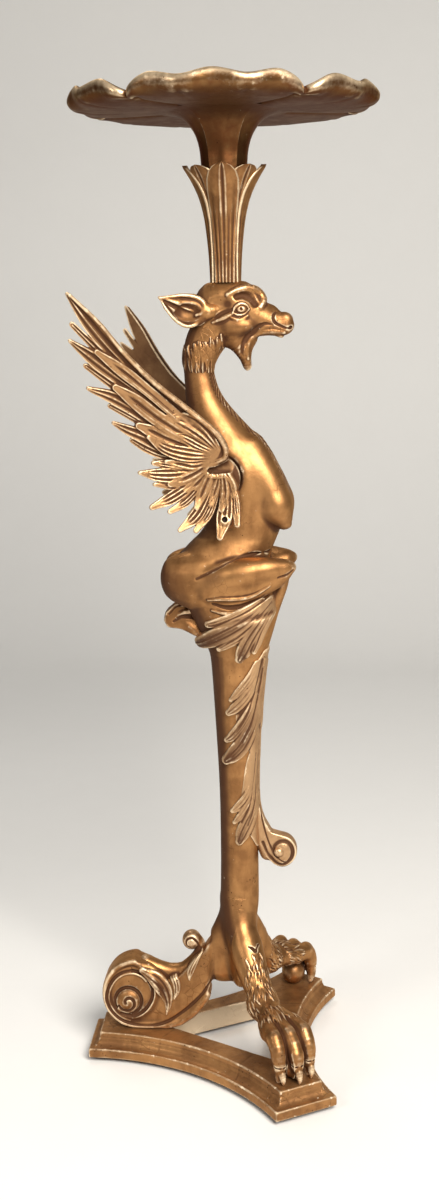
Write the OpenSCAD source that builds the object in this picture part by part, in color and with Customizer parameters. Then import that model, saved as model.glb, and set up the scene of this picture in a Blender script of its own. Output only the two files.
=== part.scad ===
// Carved and gilded vase stand: a winged beast on a three-footed shaft carries a petalled dish.
// X points to the beast's front, Y to its left and Z up, in millimetres.
// The origin is on the floor, on the axis that the dish and the plinth share.

/* [Plinth] */
// Axis to the end face of each arm
arm_r = 180; // [165:1:200]
// Width of each arm's end face
end_w = 80; // [72:1:90]
// Thickness of the plain slab at the bottom
slab_h = 11; // [8:0.5:16]
// Height of the cove and its fillet above the slab
cove_h = 15; // [12:0.5:20]
// Distance from the slab's edge in to the top face
cove_in = 12.5; // [9:0.5:15]
// Flat ledge between the slab's edge and the cove
ledge = 3; // [1:0.5:5]
// Step between the cove and the narrow band above it
fillet = 1; // [0.5:0.25:2]
// Axis to each side of the three-sided opening
opening_r = 48; // [38:1:54]
// Half the length of each rail between two corner blocks
rail_half = 58; // [50:1:66]
// Radius of the foot pads
pad_r = 12; // [8:0.5:16]
// Thickness of the foot pads
pad_h = 5; // [3:0.5:8]
// End of each arm back to the centre of its foot pad
pad_inset = 22; // [20:1:24]

/* [Legs] */
// Underside of the hub above the plinth's top face
hub_lift = 55; // [50:1:60]
// Height of the hub
hub_h = 110; // [100:1:125]
// Axis to the flat seat where each leg meets the hub
leg_seat = 30; // [26:1:34]
// Half width of a paw leg where it meets the hub
leg_half = 21; // [18:0.5:23]
// Radius of a paw leg above the ankle
ankle_r = 15.5; // [14:0.5:17]
// Half width of a paw across the toes
paw_half = 26; // [23:0.5:28]
// Axis to the toe tips
toe_at = 165; // [160:1:167]
// Height of the knuckles above the plinth
knuckle_h = 48; // [44:1:52]
// Radius of the ball that each paw grips
grip_r = 15; // [12:0.5:17]
// Outer radius of the rear scroll
scroll_r = 43; // [36:1:46]
// Axis back to the centre of the rear scroll
scroll_at = 123; // [118:1:130]
// Width of the rear scroll's banded rim
scroll_w = 38; // [30:1:44]
// Radius of the scroll's eye
eye_r = 14; // [10:0.5:16]
// Depth of the carved ground between the scroll's bands
scroll_sink = 4; // [2:0.5:6]
// Radius of the ball curl above the scroll
ball_r = 11; // [8:0.5:14]

/* [Shaft] */
// Height of the shaft
shaft_h = 300; // [270:1:340]
// Depth of the shaft at its foot, front to back
shaft_d = 48; // [42:1:52]
// Half width of the shaft at its foot
shaft_half = 22; // [20:0.5:26]
// Front face of the shaft's foot ahead of the axis
shaft_front = 31; // [28:0.5:34]
// Thickness of the carved leaves laid on the shaft
leaf_t = 5; // [3:0.5:7]
// Outer radius of the front volute
volute_r = 19; // [15:0.5:22]
// Width of the front volute
volute_w = 18; // [14:1:22]

/* [Beast] */
// Height of the crouched haunches
haunch_h = 144; // [135:1:155]
// Half the distance between the knees' centres
knee_y = 34; // [30:1:38]
// Radius of a knee
knee_r = 15; // [12:0.5:18]
// Height of the torso and neck
torso_h = 206; // [190:1:225]
// Radius of each breast
breast_r = 21; // [17:0.5:23]
// Half the distance between the breasts' centres
breast_y = 21; // [18:0.5:24]
// Radius of the neck where the head joins it
collar_r = 19; // [17:0.5:22]
// Head joint to the crown of the head
head_h = 112; // [104:1:120]
// Half width of the skull
skull_half = 28; // [25:0.5:31]
// Half width of the nose
nose_half = 13; // [10:0.5:16]
// Length of each ear
ear_len = 54; // [44:1:62]

/* [Wings] */
// Length of the leading feather of the right wing, seen from the side
right_wing_len = 278; // [250:1:300]
// Length of the leading feather of the left wing, seen from the side
left_wing_len = 252; // [235:1:300]
// Middle plane of the beast to each wing tip
wing_tip_y = 175; // [140:1:185]
// Middle plane of the beast to the flat seat of each wing
wing_seat = 36; // [32:0.5:40]
// Radius of the round pad that a wing seats with
wing_pad_r = 26; // [20:0.5:30]
// Thickness of a wing at its pad
wing_t = 16; // [12:0.5:20]
// Width of a long feather
feather_w = 30; // [24:1:34]
// Thickness of a feather
feather_t = 7; // [5:0.5:9]

/* [Top] */
// Crown of the head to the neck's seat inside the leaf capital
capital_h = 127; // [115:1:140]
// Radius of the capital's stem at its foot
stem_r = 19; // [17:0.5:22]
// Radius across the capital's four leaf tips
leaf_r = 51; // [46:1:56]
// How far the leaf tips stand above the neck's seat
leaf_rise = 18; // [12:0.5:22]
// Height of the turned neck under the dish
neck_h = 79; // [68:1:92]
// Radius of the neck's narrowest part
neck_r = 28; // [24:0.5:30]
// Radius of the neck's seat under the dish
neck_top_r = 48; // [42:1:54]
// Radius of the dish over its petals
dish_r = 195.5; // [180:0.5:210]
// Height of the dish from the neck's seat to the petal tips
dish_h = 36; // [32:1:42]
// Thickness of the dish's floor and petals
dish_t = 9; // [7:0.5:11]
// Number of petals
petals = 5; // [4:1:6]
// Depth of the notch between two petals
notch = 20; // [10:1:26]

/* [Joinery] */
// Radius of the dowels in the standing joints
dowel_r = 8; // [6:0.5:9]
// Length of a dowel on each side of its joint
dowel_half = 22; // [16:1:24]
// Radius of the pegs that hold the small carvings
peg_r = 3.5; // [2.5:0.5:4]
// Radius of the dowels in the legs and the wings
small_dowel_r = 5; // [4:0.5:6]
// Clearance round a dowel, peg or tenon
fit = 0.15; // [0.1:0.05:0.3]
// Gap behind a carving laid on a curved face
glue = 0.3; // [0.2:0.05:0.5]
// Radius of the screws' shanks
screw_r = 2.5; // [2:0.25:3]
// Radius of the screws' heads
screw_head_r = 4.5; // [4:0.25:5.5]
// Thickness of the screws' heads
screw_head_t = 3; // [2:0.5:4]

/* [Hidden] */
$fn = 48;

gilt = "#b88a52";
bare_wood = "#c9a778";
steel = "#777777";

// Levels of the joints, from the floor up
slab_top = pad_h + slab_h;
plinth_top = slab_top + cove_h;
hub_z = plinth_top + hub_lift;
shaft_z = hub_z + hub_h;
haunch_z = shaft_z + shaft_h;
torso_z = haunch_z + haunch_h;
head_z = torso_z + torso_h;
capital_z = head_z + head_h;
neck_z = capital_z + capital_h;
dish_z = neck_z + neck_h;
top_z = dish_z + dish_h;

// Directions of the arms, and of the rails between them
rear_a = 180;
left_a = 60;
right_a = -60;
arms = [rear_a, left_a, right_a];
rails = [0, 120, -120];
pad_at = arm_r - pad_inset;

// Centre and radius of the arc that hollows each side of the plinth
side_c = 2 * arm_r;
side_r = sqrt(3) * arm_r - end_w / 2;

// Shaft's foot in plan, and the joints above it as [back, front, half width]
shaft_mid = shaft_front - shaft_d / 2;
cap = [shaft_mid - 33, shaft_mid + 38, shaft_half + 11];
waist = [-43, 60, 37];
collar_x = -35;
wing_x = -9;
wing_z = torso_z + 79;
wing_screw_x = -1;
wing_screw_z = torso_z + 29;
wing_screw_y = wing_seat + wing_t;
wing_screw_len = wing_t + 18;
ear_x = -24;
ear_z = head_z + 80;
ear_seat = skull_half - 3;
small_half = 18;
tenon_r = 14;
tenon_len = 12;
foot_screw_len = slab_h + cove_h + 14;
leaf_peg_x = -86;
eye_back = 10;
eye_drop = 9;
big = 3 * dish_r;

// Number of sides of the carved rings
sides = 28;

// Signed power, which squares off a round ring
function sq(c, e) = sign(c) * pow(abs(c), e);

// Point on the smooth curve between b and c, with a before and d after
function bend(a, b, c, d, t) = 0.5 * (2 * b + (c - a) * t + (2 * a - 5 * b + 4 * c - d) * t * t
    + (3 * b - 3 * c + d - a) * t * t * t);

// Stations, with more put between them on a smooth curve
function smooth(st, per) = let(last = len(st) - 1) concat(
    [for (i = [0:last - 1]) for (k = [0:per - 1])
        bend(st[max(i - 1, 0)], st[i], st[i + 1], st[min(i + 2, last)], k / per)],
    [st[last]]);

// Level ring from a station of height, back, front and half width
function level_ring(s, n, grow, e = 0.85) = let(mid = (s[1] + s[2]) / 2, a = (s[2] - s[1]) / 2 + grow)
    [for (i = [0:n - 1]) [mid + a * sq(cos(360 * i / n), e), (s[3] + grow) * sq(sin(360 * i / n), e), s[0]]];

// Upright ring across the beast from a station of x, y, z, half height and half width
function cross_ring(s, n) =
    [for (i = [0:n - 1]) [s[0], s[1] + s[4] * cos(360 * i / n), s[2] + s[3] * sin(360 * i / n)]];

// Tilted ring from a station of x, z, slope, half width and half thickness
function leg_ring(s, y, n) = [for (i = [0:n - 1]) let(w = cos(360 * i / n), v = sin(360 * i / n))
    [s[0] - s[4] * v * sin(s[2]), y + s[3] * w, s[1] + s[4] * v * cos(s[2])]];

// Solid skinned over rings of equal count that run against the clock seen from the last one
module skin(rings) {
    n = len(rings[0]);
    last = len(rings) - 1;
    points = [for (r = rings) each r];
    faces = [for (i = [0:last - 1]) for (j = [0:n - 1]) let(k = (j + 1) % n)
        each [[i * n + j, (i + 1) * n + j, (i + 1) * n + k], [i * n + j, (i + 1) * n + k, i * n + k]]];
    foot = [for (j = [0:n - 1]) j];
    head = [for (j = [n - 1:-1:0]) last * n + j];
    polyhedron(points, concat([foot], faces, [head]), convexity = 6);
}

// Stations with their heights as shares of a piece's own height, set on its level
function raised(st, z, h) = [for (s = st) [z + s[0] * h, s[1], s[2], s[3]]];

// Cylinder from one point along X, Y or Z
module rod(at, r, len, axis = "z") {
    turn = axis == "x" ? [0, 90, 0] : (axis == "y" ? [-90, 0, 0] : [0, 0, 0]);
    translate(at) rotate(turn) cylinder(r = r, h = len);
}

// Side outline in X and Z, pulled out across the beast
module across(width) {
    translate([0, width / 2, 0]) rotate([90, 0, 0]) linear_extrude(height = width) children();
}

// Plinth

// Plan of the plinth: three arms with hollow sides between them
module plan() {
    difference() {
        polygon([for (a = [right_a, left_a, rear_a]) for (s = [-1, 1])
            [arm_r * cos(a) - s * end_w / 2 * sin(a), arm_r * sin(a) + s * end_w / 2 * cos(a)]]);
        for (a = rails) rotate(a) translate([side_c, 0]) circle(r = side_r, $fn = 180);
        rotate(rear_a) circle(r = 2 * opening_r, $fn = 3);
    }
}

// Section of what is cut away above the slab, with the edge at x = 0 and the wood at positive x;
// rise lifts the step above the cove
module cove_cut(rise = 0) {
    cove_r = cove_in - ledge - fillet;
    translate([ledge, slab_top + cove_r]) circle(r = cove_r);
    translate([-ledge, slab_top]) square([2 * ledge, cove_h + 1]);
    translate([-ledge, slab_top + cove_r - fillet / 2 + rise]) square([cove_in + ledge, cove_h]);
}

module plinth_body() {
    difference() {
        translate([0, 0, pad_h]) linear_extrude(height = slab_h + cove_h) plan();
        for (a = rails) rotate(a) translate([side_c, 0, 0])
            rotate_extrude($fn = 180) translate([side_r, 0]) cove_cut();
        for (a = arms) rotate(a) translate([arm_r, -end_w, 0]) rotate([90, 0, 180])
            linear_extrude(height = 2 * end_w) cove_cut(fillet / 4);
        for (a = arms) rotate(a) {
            rod([screw_at(a), 0, 0], screw_r + fit, big);
            rod([screw_at(a), 0, 0], screw_head_r + fit, pad_h + screw_head_t);
            rod([pad_at, 0, 0], screw_r / 2 + fit, slab_top);
        }
        rail_tenon_blocks(fit);
    }
}

// Height of the dowel that holds each leg
function leg_dowel_z(a) = hub_z + (a == rear_a ? 26 : 46);

// Axis to the screw under each foot
function screw_at(a) = a == rear_a ? scroll_at - 20 : toe_at - 27;

// Space that one rail of the plinth takes
module rail_space(a) {
    rotate(a) translate([opening_r / 2, -rail_half, 0]) cube([big, 2 * rail_half, big]);
}

module rail(a) {
    color(gilt) intersection() {
        plinth_body();
        rail_space(a);
    }
}

module corner(a) {
    color(gilt) difference() {
        intersection() {
            plinth_body();
            rotate(a) linear_extrude(height = big)
                polygon([[0, 0], [big, -sqrt(3) * big], [big, sqrt(3) * big]]);
        }
        for (b = rails) rail_space(b);
    }
}

module rear_corner() { corner(rear_a); }
module left_corner() { corner(left_a); }
module right_corner() { corner(right_a); }
module front_rail() { rail(rails[0]); }
module left_rail() { rail(rails[1]); }
module right_rail() { rail(rails[2]); }

// Loose tenons across the six joints of the plinth
module rail_tenon_blocks(grow) {
    tenon = [20, 24, 9];
    for (a = rails) for (s = [-1, 1]) rotate(a)
        translate([opening_r + 12, s * rail_half, pad_h + slab_h / 2])
            translate([0, -tenon[1] / 2, 0] - grow * [1, 1, 1])
                cube(tenon + 2 * grow * [1, 1, 1]);
}

module rail_tenons() {
    color(bare_wood) rail_tenon_blocks(0);
}

// Screw that stands head down at the origin
module screw(len) {
    rod([0, 0, 0], screw_head_r, screw_head_t);
    rod([0, 0, 0], screw_r, len);
}

module foot_screws() {
    color(steel) for (a = arms) rotate(a)
        translate([screw_at(a), 0, pad_h]) screw(foot_screw_len);
}

// Pad with its pin under an arm
module pad(a) {
    color("#3a332c") rotate(a) {
        rod([pad_at, 0, 0], pad_r, pad_h);
        rod([pad_at, 0, 0], screw_r / 2, slab_top - 1);
    }
}

module rear_pad() { pad(rear_a); }
module left_pad() { pad(left_a); }
module right_pad() { pad(right_a); }

// Legs

// How far a leg lobe of the hub swells out in direction a
function lobe(a) = pow((1 + cos(3 * (a - left_a))) / 2, 1.4);

// Ring of the hub from a station of height, middle X, core radius and lobe swell
function hub_ring(s) = [for (i = [0:47]) let(a = 7.5 * i, r = s[2] + s[3] * lobe(a))
    [s[1] + r * cos(a), r * sin(a), s[0]]];

// Dowels between the hub and the legs, pointing out of the hub
module leg_dowel_rods(r, reach) {
    for (a = arms) rotate(a)
        rod([leg_seat - reach, 0, leg_dowel_z(a)], r, 2 * reach, "x");
}

module leg_hub() {
    foot = [[0, 0, 6, 18], [0.1, 0, 11, 26], [0.26, 0, 15, 27], [0.42, 1, 19, 22],
        [0.56, 3, 21, 13], [0.7, 5, 22, 6], [0.85, 7, 23, 1]];
    neck = [[hub_z + hub_h, shaft_mid, shaft_d / 2, 0]];
    rings = smooth(concat(raised(foot, hub_z, hub_h), neck), 2);
    color(gilt) difference() {
        intersection() {
            skin([for (s = rings) hub_ring(s)]);
            translate([0, 0, hub_z - 1]) linear_extrude(height = hub_h + 2)
                circle(r = 2 * leg_seat, $fn = 3);
        }
        leg_dowel_rods(small_dowel_r + fit, small_half);
        rod([shaft_mid, 0, shaft_z - dowel_half], dowel_r + fit, big);
    }
}

module leg_dowels() {
    color(bare_wood) leg_dowel_rods(small_dowel_r, small_half - 0.5);
}

// One toe arching over the ball, at distance y from the paw's middle
module toe(y) {
    low = plinth_top;
    tip = toe_at - 0.35 * abs(y);
    toe_r = paw_half / 4.2;
    line = [[tip - 46, low + knuckle_h - 6, 10, 3, 3], [tip - 40, low + knuckle_h - 5, 5, toe_r, toe_r],
        [tip - 24, low + knuckle_h - toe_r, -15, toe_r + 1, toe_r + 1],
        [tip - 11, low + knuckle_h - 13, -50, toe_r + 0.5, toe_r + 0.5],
        [tip - toe_r, low + 22, -80, toe_r, toe_r], [tip - 8, low + 8, -100, toe_r - 1, toe_r - 0.5],
        [tip - 10, low - 2, -100, 2.5, 2.5]];
    skin([for (s = smooth(line, 2)) leg_ring(s, y, 10)]);
}

// Hairy leg with a lion's paw that grips a ball, standing out along X
module paw_leg() {
    z = plinth_top;
    path = [[leg_seat - 2, z + 108, 0, leg_half, 27], [40, z + 95, -40, leg_half - 2, 19],
        [52, z + 80, -47, ankle_r + 1.5, 17], [66, z + 65, -42, ankle_r, 15], [82, z + 54, -22, ankle_r, 15],
        [98, z + knuckle_h + 2, -8, ankle_r + 1.5, 14.5], [114, z + knuckle_h, -12, paw_half - 6, 13],
        [128, z + knuckle_h - 5, -18, paw_half - 5, 10], [138, z + knuckle_h - 9, -25, paw_half - 9, 5]];
    difference() {
        union() {
            skin([for (s = smooth(path, 2)) leg_ring(s, 0, 20)]);
            for (k = [-1.5:1.5]) toe(k * paw_half / 2);
            translate([screw_at(left_a), 0, z + grip_r - 1]) sphere(r = grip_r);
        }
        translate([0, -big, z - big]) cube([big, 2 * big, big]);
        translate([leg_seat - big, -big, 0]) cube([big, 2 * big, big]);
        rod([screw_at(left_a), 0, 0], screw_r, pad_h + foot_screw_len + 1);
        rod([leg_seat - 1, 0, leg_dowel_z(left_a)], small_dowel_r + fit, small_half + 1, "x");
    }
}

module left_paw_leg() {
    color(gilt) rotate(left_a) paw_leg();
}

module right_paw_leg() {
    color(gilt) rotate(right_a) paw_leg();
}

// Points of the band that runs up the scroll's outer edge and winds in to the eye
function spiral(share) = [for (t = [0:9:468]) let(u = max(0, t - 180) / 288, v = pow(u, 0.6),
        r = scroll_r - (scroll_r - eye_r - 3) * v - share * (6 - 3 * u))
    [-scroll_at - eye_back * v + r * cos(270 - t), plinth_top + scroll_r - eye_drop * v + r * sin(270 - t)]];

// Side outline of the rear leg, with its top edge moved up by grow
module scroll_side(grow) {
    low = plinth_top;
    translate([-scroll_at, low + scroll_r]) circle(r = scroll_r - 3, $fn = 72);
    polygon([[-scroll_at, low + 2], [-84, low + 1], [-68, low + 6], [-52, low + 18], [-40, low + 32],
        [-leg_seat, hub_z], [-leg_seat, low + 111 + grow], [-38, low + 97 + grow],
        [-48, low + 87 + grow], [-60, low + 75 + grow], [-70, low + 65 + grow],
        [-80, low + 60.5 + grow], [-90, low + 60.5 + grow], [-100, low + 65 + grow],
        [-112, low + 74 + grow], [-scroll_at, low + 2 * scroll_r - 5 + grow]]);
}

// Raised bands on both faces of the rear leg, widened by grow
module scroll_bands(grow) {
    low = plinth_top;
    inner = spiral(1);
    across(scroll_w + 2 * grow) polygon(concat(spiral(0), [for (i = [len(inner) - 1:-1:0]) inner[i]]));
    across(scroll_w + 2 * grow) polygon([[-scroll_at, low], [-84, low], [-67, low + 4], [-50, low + 15],
        [-38, low + 28], [-leg_seat, hub_z - 15], [-leg_seat, hub_z - 4], [-41, low + 41],
        [-54, low + 25], [-70, low + 12], [-85, low + 7], [-scroll_at, low + 6]]);
    translate([-scroll_at - eye_back, scroll_w / 2 + 1, low + scroll_r - eye_drop]) rotate([90, 0, 0])
        cylinder(r = eye_r, h = scroll_w + 2);
}

module scroll_leg() {
    color(gilt) difference() {
        union() {
            across(scroll_w - 2 * scroll_sink) scroll_side(0);
            scroll_bands(0);
        }
        translate([-big, -big, plinth_top - big]) cube([big, 2 * big, big]);
        rod([-screw_at(rear_a), 0, 0], screw_r, pad_h + foot_screw_len + 1);
        rod([-leg_seat - small_half, 0, leg_dowel_z(rear_a)], small_dowel_r + fit, small_half + 1, "x");
        rod([leaf_peg_x, 0, plinth_top + 48], peg_r + fit, 40);
    }
}

// Leaf that lies over the back of the scroll leg and ends in a ball curl
module scroll_leaf() {
    low = plinth_top;
    color(gilt) difference() {
        union() {
            translate([-55, 0, low + 104]) sphere(r = ball_r);
            across(scroll_w - 0.5) polygon([[-120, low + 80], [-112, low + 79], [-100, low + 69],
                [-88, low + 64.5], [-76, low + 66.5], [-66, low + 75], [-61, low + 84], [-62, low + 98],
                [-48, low + 98], [-45, low + 82], [-42, low + 76], [-50, low + 70], [-56, low + 63],
                [-64, low + 61], [-73, low + 55.5], [-72, low + 44.5], [-77, low + 41], [-83, low + 22],
                [-88, low + 34], [-88, low + 44], [-94, low + 56], [-104, low + 65], [-118, low + 76]]);
        }
        across(scroll_w - 2 * scroll_sink + 2 * glue) scroll_side(glue);
        scroll_bands(glue);
    }
    color(gilt) rod([leaf_peg_x, 0, low + 48.5], peg_r, 13);
}

// Shaft

// Rings of the shaft and of the mass above it, with their surface moved out by grow
function trunk(grow) = let(
    low = raised([[0, shaft_mid - shaft_d / 2, shaft_front, shaft_half],
        [0.15, shaft_mid - shaft_d / 2 + 1, shaft_front, shaft_half],
        [0.35, shaft_mid - shaft_d / 2 + 1, shaft_front, shaft_half],
        [0.5, shaft_mid - shaft_d / 2, shaft_front, shaft_half + 1],
        [0.7, shaft_mid - shaft_d / 2 - 3, shaft_front + 3, shaft_half + 3],
        [0.82, shaft_mid - shaft_d / 2 - 5, shaft_front + 6, shaft_half + 5],
        [0.93, shaft_mid - shaft_d / 2 - 7, shaft_front + 10, shaft_half + 8],
        [1, cap[0], cap[1], cap[2]]], shaft_z, shaft_h))
    [for (s = smooth(low, 2)) level_ring(s, sides, grow)];

function belly(grow) = let(
    low = raised([[0, cap[0], cap[1], cap[2]], [0.13, -34, 51, 38], [0.3, -46, 57, 43],
        [0.48, -60, 58, 47], [0.65, -68, 57, 48], [0.82, -66, 50, 44], [1, waist[0], waist[1], waist[2]]],
        haunch_z, haunch_h))
    [for (s = smooth(low, 2)) level_ring(s, sides, grow)];

module dowel(x, z) {
    color(bare_wood) rod([x, 0, z - dowel_half + 0.5], dowel_r, 2 * dowel_half - 1);
}

module dowel_bore(x, z) {
    rod([x, 0, z - dowel_half], dowel_r + fit, 2 * dowel_half);
}

module shaft_dowel() { dowel(shaft_mid, shaft_z); }
module haunch_dowel() { dowel((cap[0] + cap[1]) / 2, haunch_z); }

module shaft() {
    color(gilt) difference() {
        skin(trunk(0));
        dowel_bore(shaft_mid, shaft_z);
        dowel_bore((cap[0] + cap[1]) / 2, haunch_z);
        translate([shaft_front - 1, -volute_w / 2 - glue, haunch_z - 236])
            cube([10, volute_w + 2 * glue, 56]);
        rod([shaft_front - 20, 0, haunch_z - 198], peg_r + fit, 30, "x");
    }
}

// Side outline of the two tiers of the leaf that hangs down the shaft, from the shaft's top
module drop_outline() {
    polygon([[70, 0], [14, 0], [6, -22], [-2, -55], [0, -64], [-7, -74], [-3, -86], [-8, -107],
        [-4, -118], [-14, -137], [3, -134], [15, -127], [8, -145], [6, -162], [2, -184], [5, -191],
        [-2, -199], [3, -210], [1, -226], [7, -238], [19, -232], [26, -224], [70, -224]]);
}

// Carved leaf laid down the front of the shaft
module drop_leaf() {
    color(gilt) difference() {
        intersection() {
            skin(trunk(leaf_t));
            translate([0, 0, haunch_z - 14]) across(big) drop_outline();
        }
        skin(trunk(glue));
        translate([0, -volute_w / 2 - glue, haunch_z - big - 180]) cube([big, volute_w + 2 * glue, big]);
    }
}

// Volute at the foot of the drop leaf, with its round tenon
module front_volute() {
    x = shaft_front - 1;
    top = haunch_z - 180;
    c = [x + 30, top - 65];
    color(gilt) difference() {
        union() {
            across(volute_w) {
                polygon([[x, top - 1], [x + 4, top - 12], [x + 10, top - 28], [x + 18, top - 42],
                    [c[0] + 6, c[1] + volute_r - 1], [c[0], c[1]], [x + 11, c[1] + 2],
                    [x + 3, top - 44], [x, top - 30]]);
                translate(c) circle(r = volute_r, $fn = 60);
            }
            across(volute_w + 5) translate(c) circle(r = volute_r / 2.6);
            rod([x - 18, 0, haunch_z - 198], peg_r, 20, "x");
        }
        for (s = [-1, 1]) translate([c[0], s * (volute_w / 2 + 1), c[1]]) rotate([90, 0, 0])
            difference() {
                cylinder(r = volute_r * 0.78, h = 4, center = true);
                cylinder(r = volute_r * 0.55, h = 5, center = true);
            }
    }
}

// Beast

// Hip and folded thigh of one side, with the surface moved out by grow
module leg_mass(side, grow) {
    hip = [[-85, 0.5, 0.67, 6, 5], [-79, 0.52, 0.67, 22, 17], [-62, 0.58, 0.66, 32, 25],
        [-35, 0.68, 0.65, 38, 28], [-5, 0.72, 0.65, 34, 26], [22, 0.7, 0.66, 18, 14]];
    thigh = [[-46, 1.25, 0.58, 2, 2], [-30, 1.25, 0.59, 13, 11], [0, 1.2, 0.62, 20, 17],
        [35, 1.1, 0.67, 23, 18], [60, 1, 0.72, knee_r + 4, knee_r + 1], [74, 1, 0.755, knee_r - 2, knee_r - 3],
        [81, 1, 0.77, 4, 3]];
    for (limb = [hip, thigh]) skin([for (s = smooth(limb, 2))
        cross_ring([s[0], side * knee_y * s[1], haunch_z + haunch_h * s[2], s[3] + grow, s[4] + grow], 16)]);
}

module waist_dowel() { dowel((waist[0] + waist[1]) / 2, torso_z); }

module haunches() {
    color(gilt) difference() {
        union() {
            skin(belly(0));
            leg_mass(1, 0);
            leg_mass(-1, 0);
        }
        dowel_bore((cap[0] + cap[1]) / 2, haunch_z);
        dowel_bore((waist[0] + waist[1]) / 2, torso_z);
    }
}

// Side outline of the leaf skirt under the thighs, from the haunches' foot
module skirt_outline() {
    polygon([[60, 52], [-44, 34], [-58, 22], [-49, 6], [-38, 17], [-31, 3], [-20, 14], [-8, 0.5],
        [0, 10], [10, 0.5], [18, 9], [30, 0.5], [40, 12], [56, 20], [66, 40]]);
}

module skirt_leaf(side) {
    color(gilt) difference() {
        intersection() {
            skin(belly(leaf_t));
            translate([0, 0, haunch_z]) across(big) skirt_outline();
            translate([-big, side > 0 ? 14 : -big - 14, 0]) cube([2 * big, big, big * 3]);
        }
        skin(belly(glue));
        leg_mass(side, glue);
    }
}

module left_skirt_leaf() { skirt_leaf(1); }
module right_skirt_leaf() { skirt_leaf(-1); }

// Leaf that curls down behind the haunches
module tail_leaf() {
    color(gilt) difference() {
        translate([0, 0, haunch_z]) across(26) polygon([[-30, 20], [-47, 25], [-62, 31], [-78, 33],
            [-83, 42], [-80, 52], [-68, 62], [-56, 64], [-30, 62]]);
        skin(belly(glue));
        leg_mass(1, glue);
        leg_mass(-1, glue);
    }
}

module torso() {
    body = [[0, waist[0], waist[1], waist[2]], [0.07, -30, 63, 36], [0.16, -26, 64, 38],
        [0.26, -28, 64, 42], [0.38, -32, 62, 44], [0.49, -36, 57, 42], [0.61, -42, 38, 36],
        [0.73, -48, 15, 29], [0.83, -52, -2, 24], [0.91, -53, -11, 20.5],
        [1, collar_x - collar_r, collar_x + collar_r, collar_r]];
    rings = smooth(raised(body, torso_z, torso_h), 2);
    color(gilt) difference() {
        union() {
            skin([for (s = rings) level_ring(s, sides, 0, 0.95)]);
            for (s = [-1, 1]) translate([59, s * breast_y, torso_z + 42]) sphere(r = breast_r);
        }
        dowel_bore((waist[0] + waist[1]) / 2, torso_z);
        dowel_bore(collar_x, head_z);
        for (s = [-1, 1]) {
            y = s > 0 ? wing_seat : -wing_seat - big;
            rod([wing_x, y, wing_z], wing_pad_r + 2, big, "y");
            rod([wing_screw_x, y, wing_screw_z], 12, big, "y");
        }
        wing_dowel_rods(small_dowel_r + fit, small_half);
        for (s = [-1, 1]) rod([wing_screw_x, s > 0 ? wing_screw_y - wing_screw_len : -wing_seat - 1,
            wing_screw_z], screw_r, wing_seat - wing_screw_y + wing_screw_len + 1, "y");
    }
}

module neck_dowel() { dowel(collar_x, head_z); }

module wing_dowel_rods(r, reach) {
    for (s = [-1, 1]) rod([wing_x, s * wing_seat - reach, wing_z], r, 2 * reach, "y");
}

module wing_dowels() {
    color(bare_wood) wing_dowel_rods(small_dowel_r, small_half - 4.5);
}

module wing_screws() {
    color(steel) for (s = [-1, 1]) translate([wing_screw_x, s * wing_screw_y, wing_screw_z])
        rotate([s * 90, 0, 0]) screw(wing_screw_len);
}

// How far a wing's middle stands off its seat, at distance d from its root
function rise(d, lead) = wing_t / 2 + (wing_tip_y - wing_seat - wing_t / 2) * pow(max(0, d) / lead, 1.4);

// One feather: direction above the level, length, wing's length, lift off the wing's plane and width
module feather(angle, len, lead, lift, width) {
    shares = [[0, 0.45], [0.25, 0.8], [0.5, 1], [0.75, 0.95], [0.9, 0.7], [1, 0.12]];
    skin([for (s = shares) let(d = s[0] * len, bow = 0.03 * len * sin(180 * s[0]),
            y = rise(d, lead) + lift)
        [for (i = [0:7]) let(w = width / 2 * s[1] * cos(45 * i), t = feather_t / 2 * sin(45 * i))
            [-d * cos(angle) + (w + bow) * sin(angle), y + t, d * sin(angle) + (w + bow) * cos(angle)]]]);
}

// Long feathers of a wing with the short ones that cover their roots
module plumage(lead) {
    long = [[54.6, 1], [46.4, 0.85], [38.4, 0.67], [31, 0.51], [7, 0.33], [-22, 0.3], [-52, 0.28], [-92, 0.25]];
    short = [[50.5, 0.75], [45, 0.6], [37, 0.43], [24, 0.31], [-6, 0.24], [-36, 0.22], [-70, 0.2]];
    for (i = [0:len(long) - 1])
        feather(long[i][0], long[i][1] * lead, lead, -0.4 * i, feather_w - 1.2 * i);
    for (i = [0:len(short) - 1])
        feather(short[i][0], short[i][1] * lead, lead, 5 - 0.4 * i, feather_w - 5 - 1.2 * i);
    arm(lead, long[0][0]);
}

// Thick leading edge of a wing, from the rounded shoulder to the tip
module arm(lead, angle) {
    line = [[-0.02, -0.02, 4], [0.01, 0.03, 12], [0.1, 0.085, 13], [0.27, 0.1, 10], [0.5, 0.052, 8],
        [0.76, 0.02, 6], [0.98, 0.002, 3]];
    skin([for (s = smooth(line, 2)) let(d = s[0] * lead, o = s[1] * lead, y = rise(d, lead))
        [for (i = [0:9]) let(w = o + s[2] * cos(36 * i), t = (s[2] * 0.4 + 3) * sin(36 * i))
            [-d * cos(angle) + w * sin(angle), y + t, d * sin(angle) + w * cos(angle)]]]);
}

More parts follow.
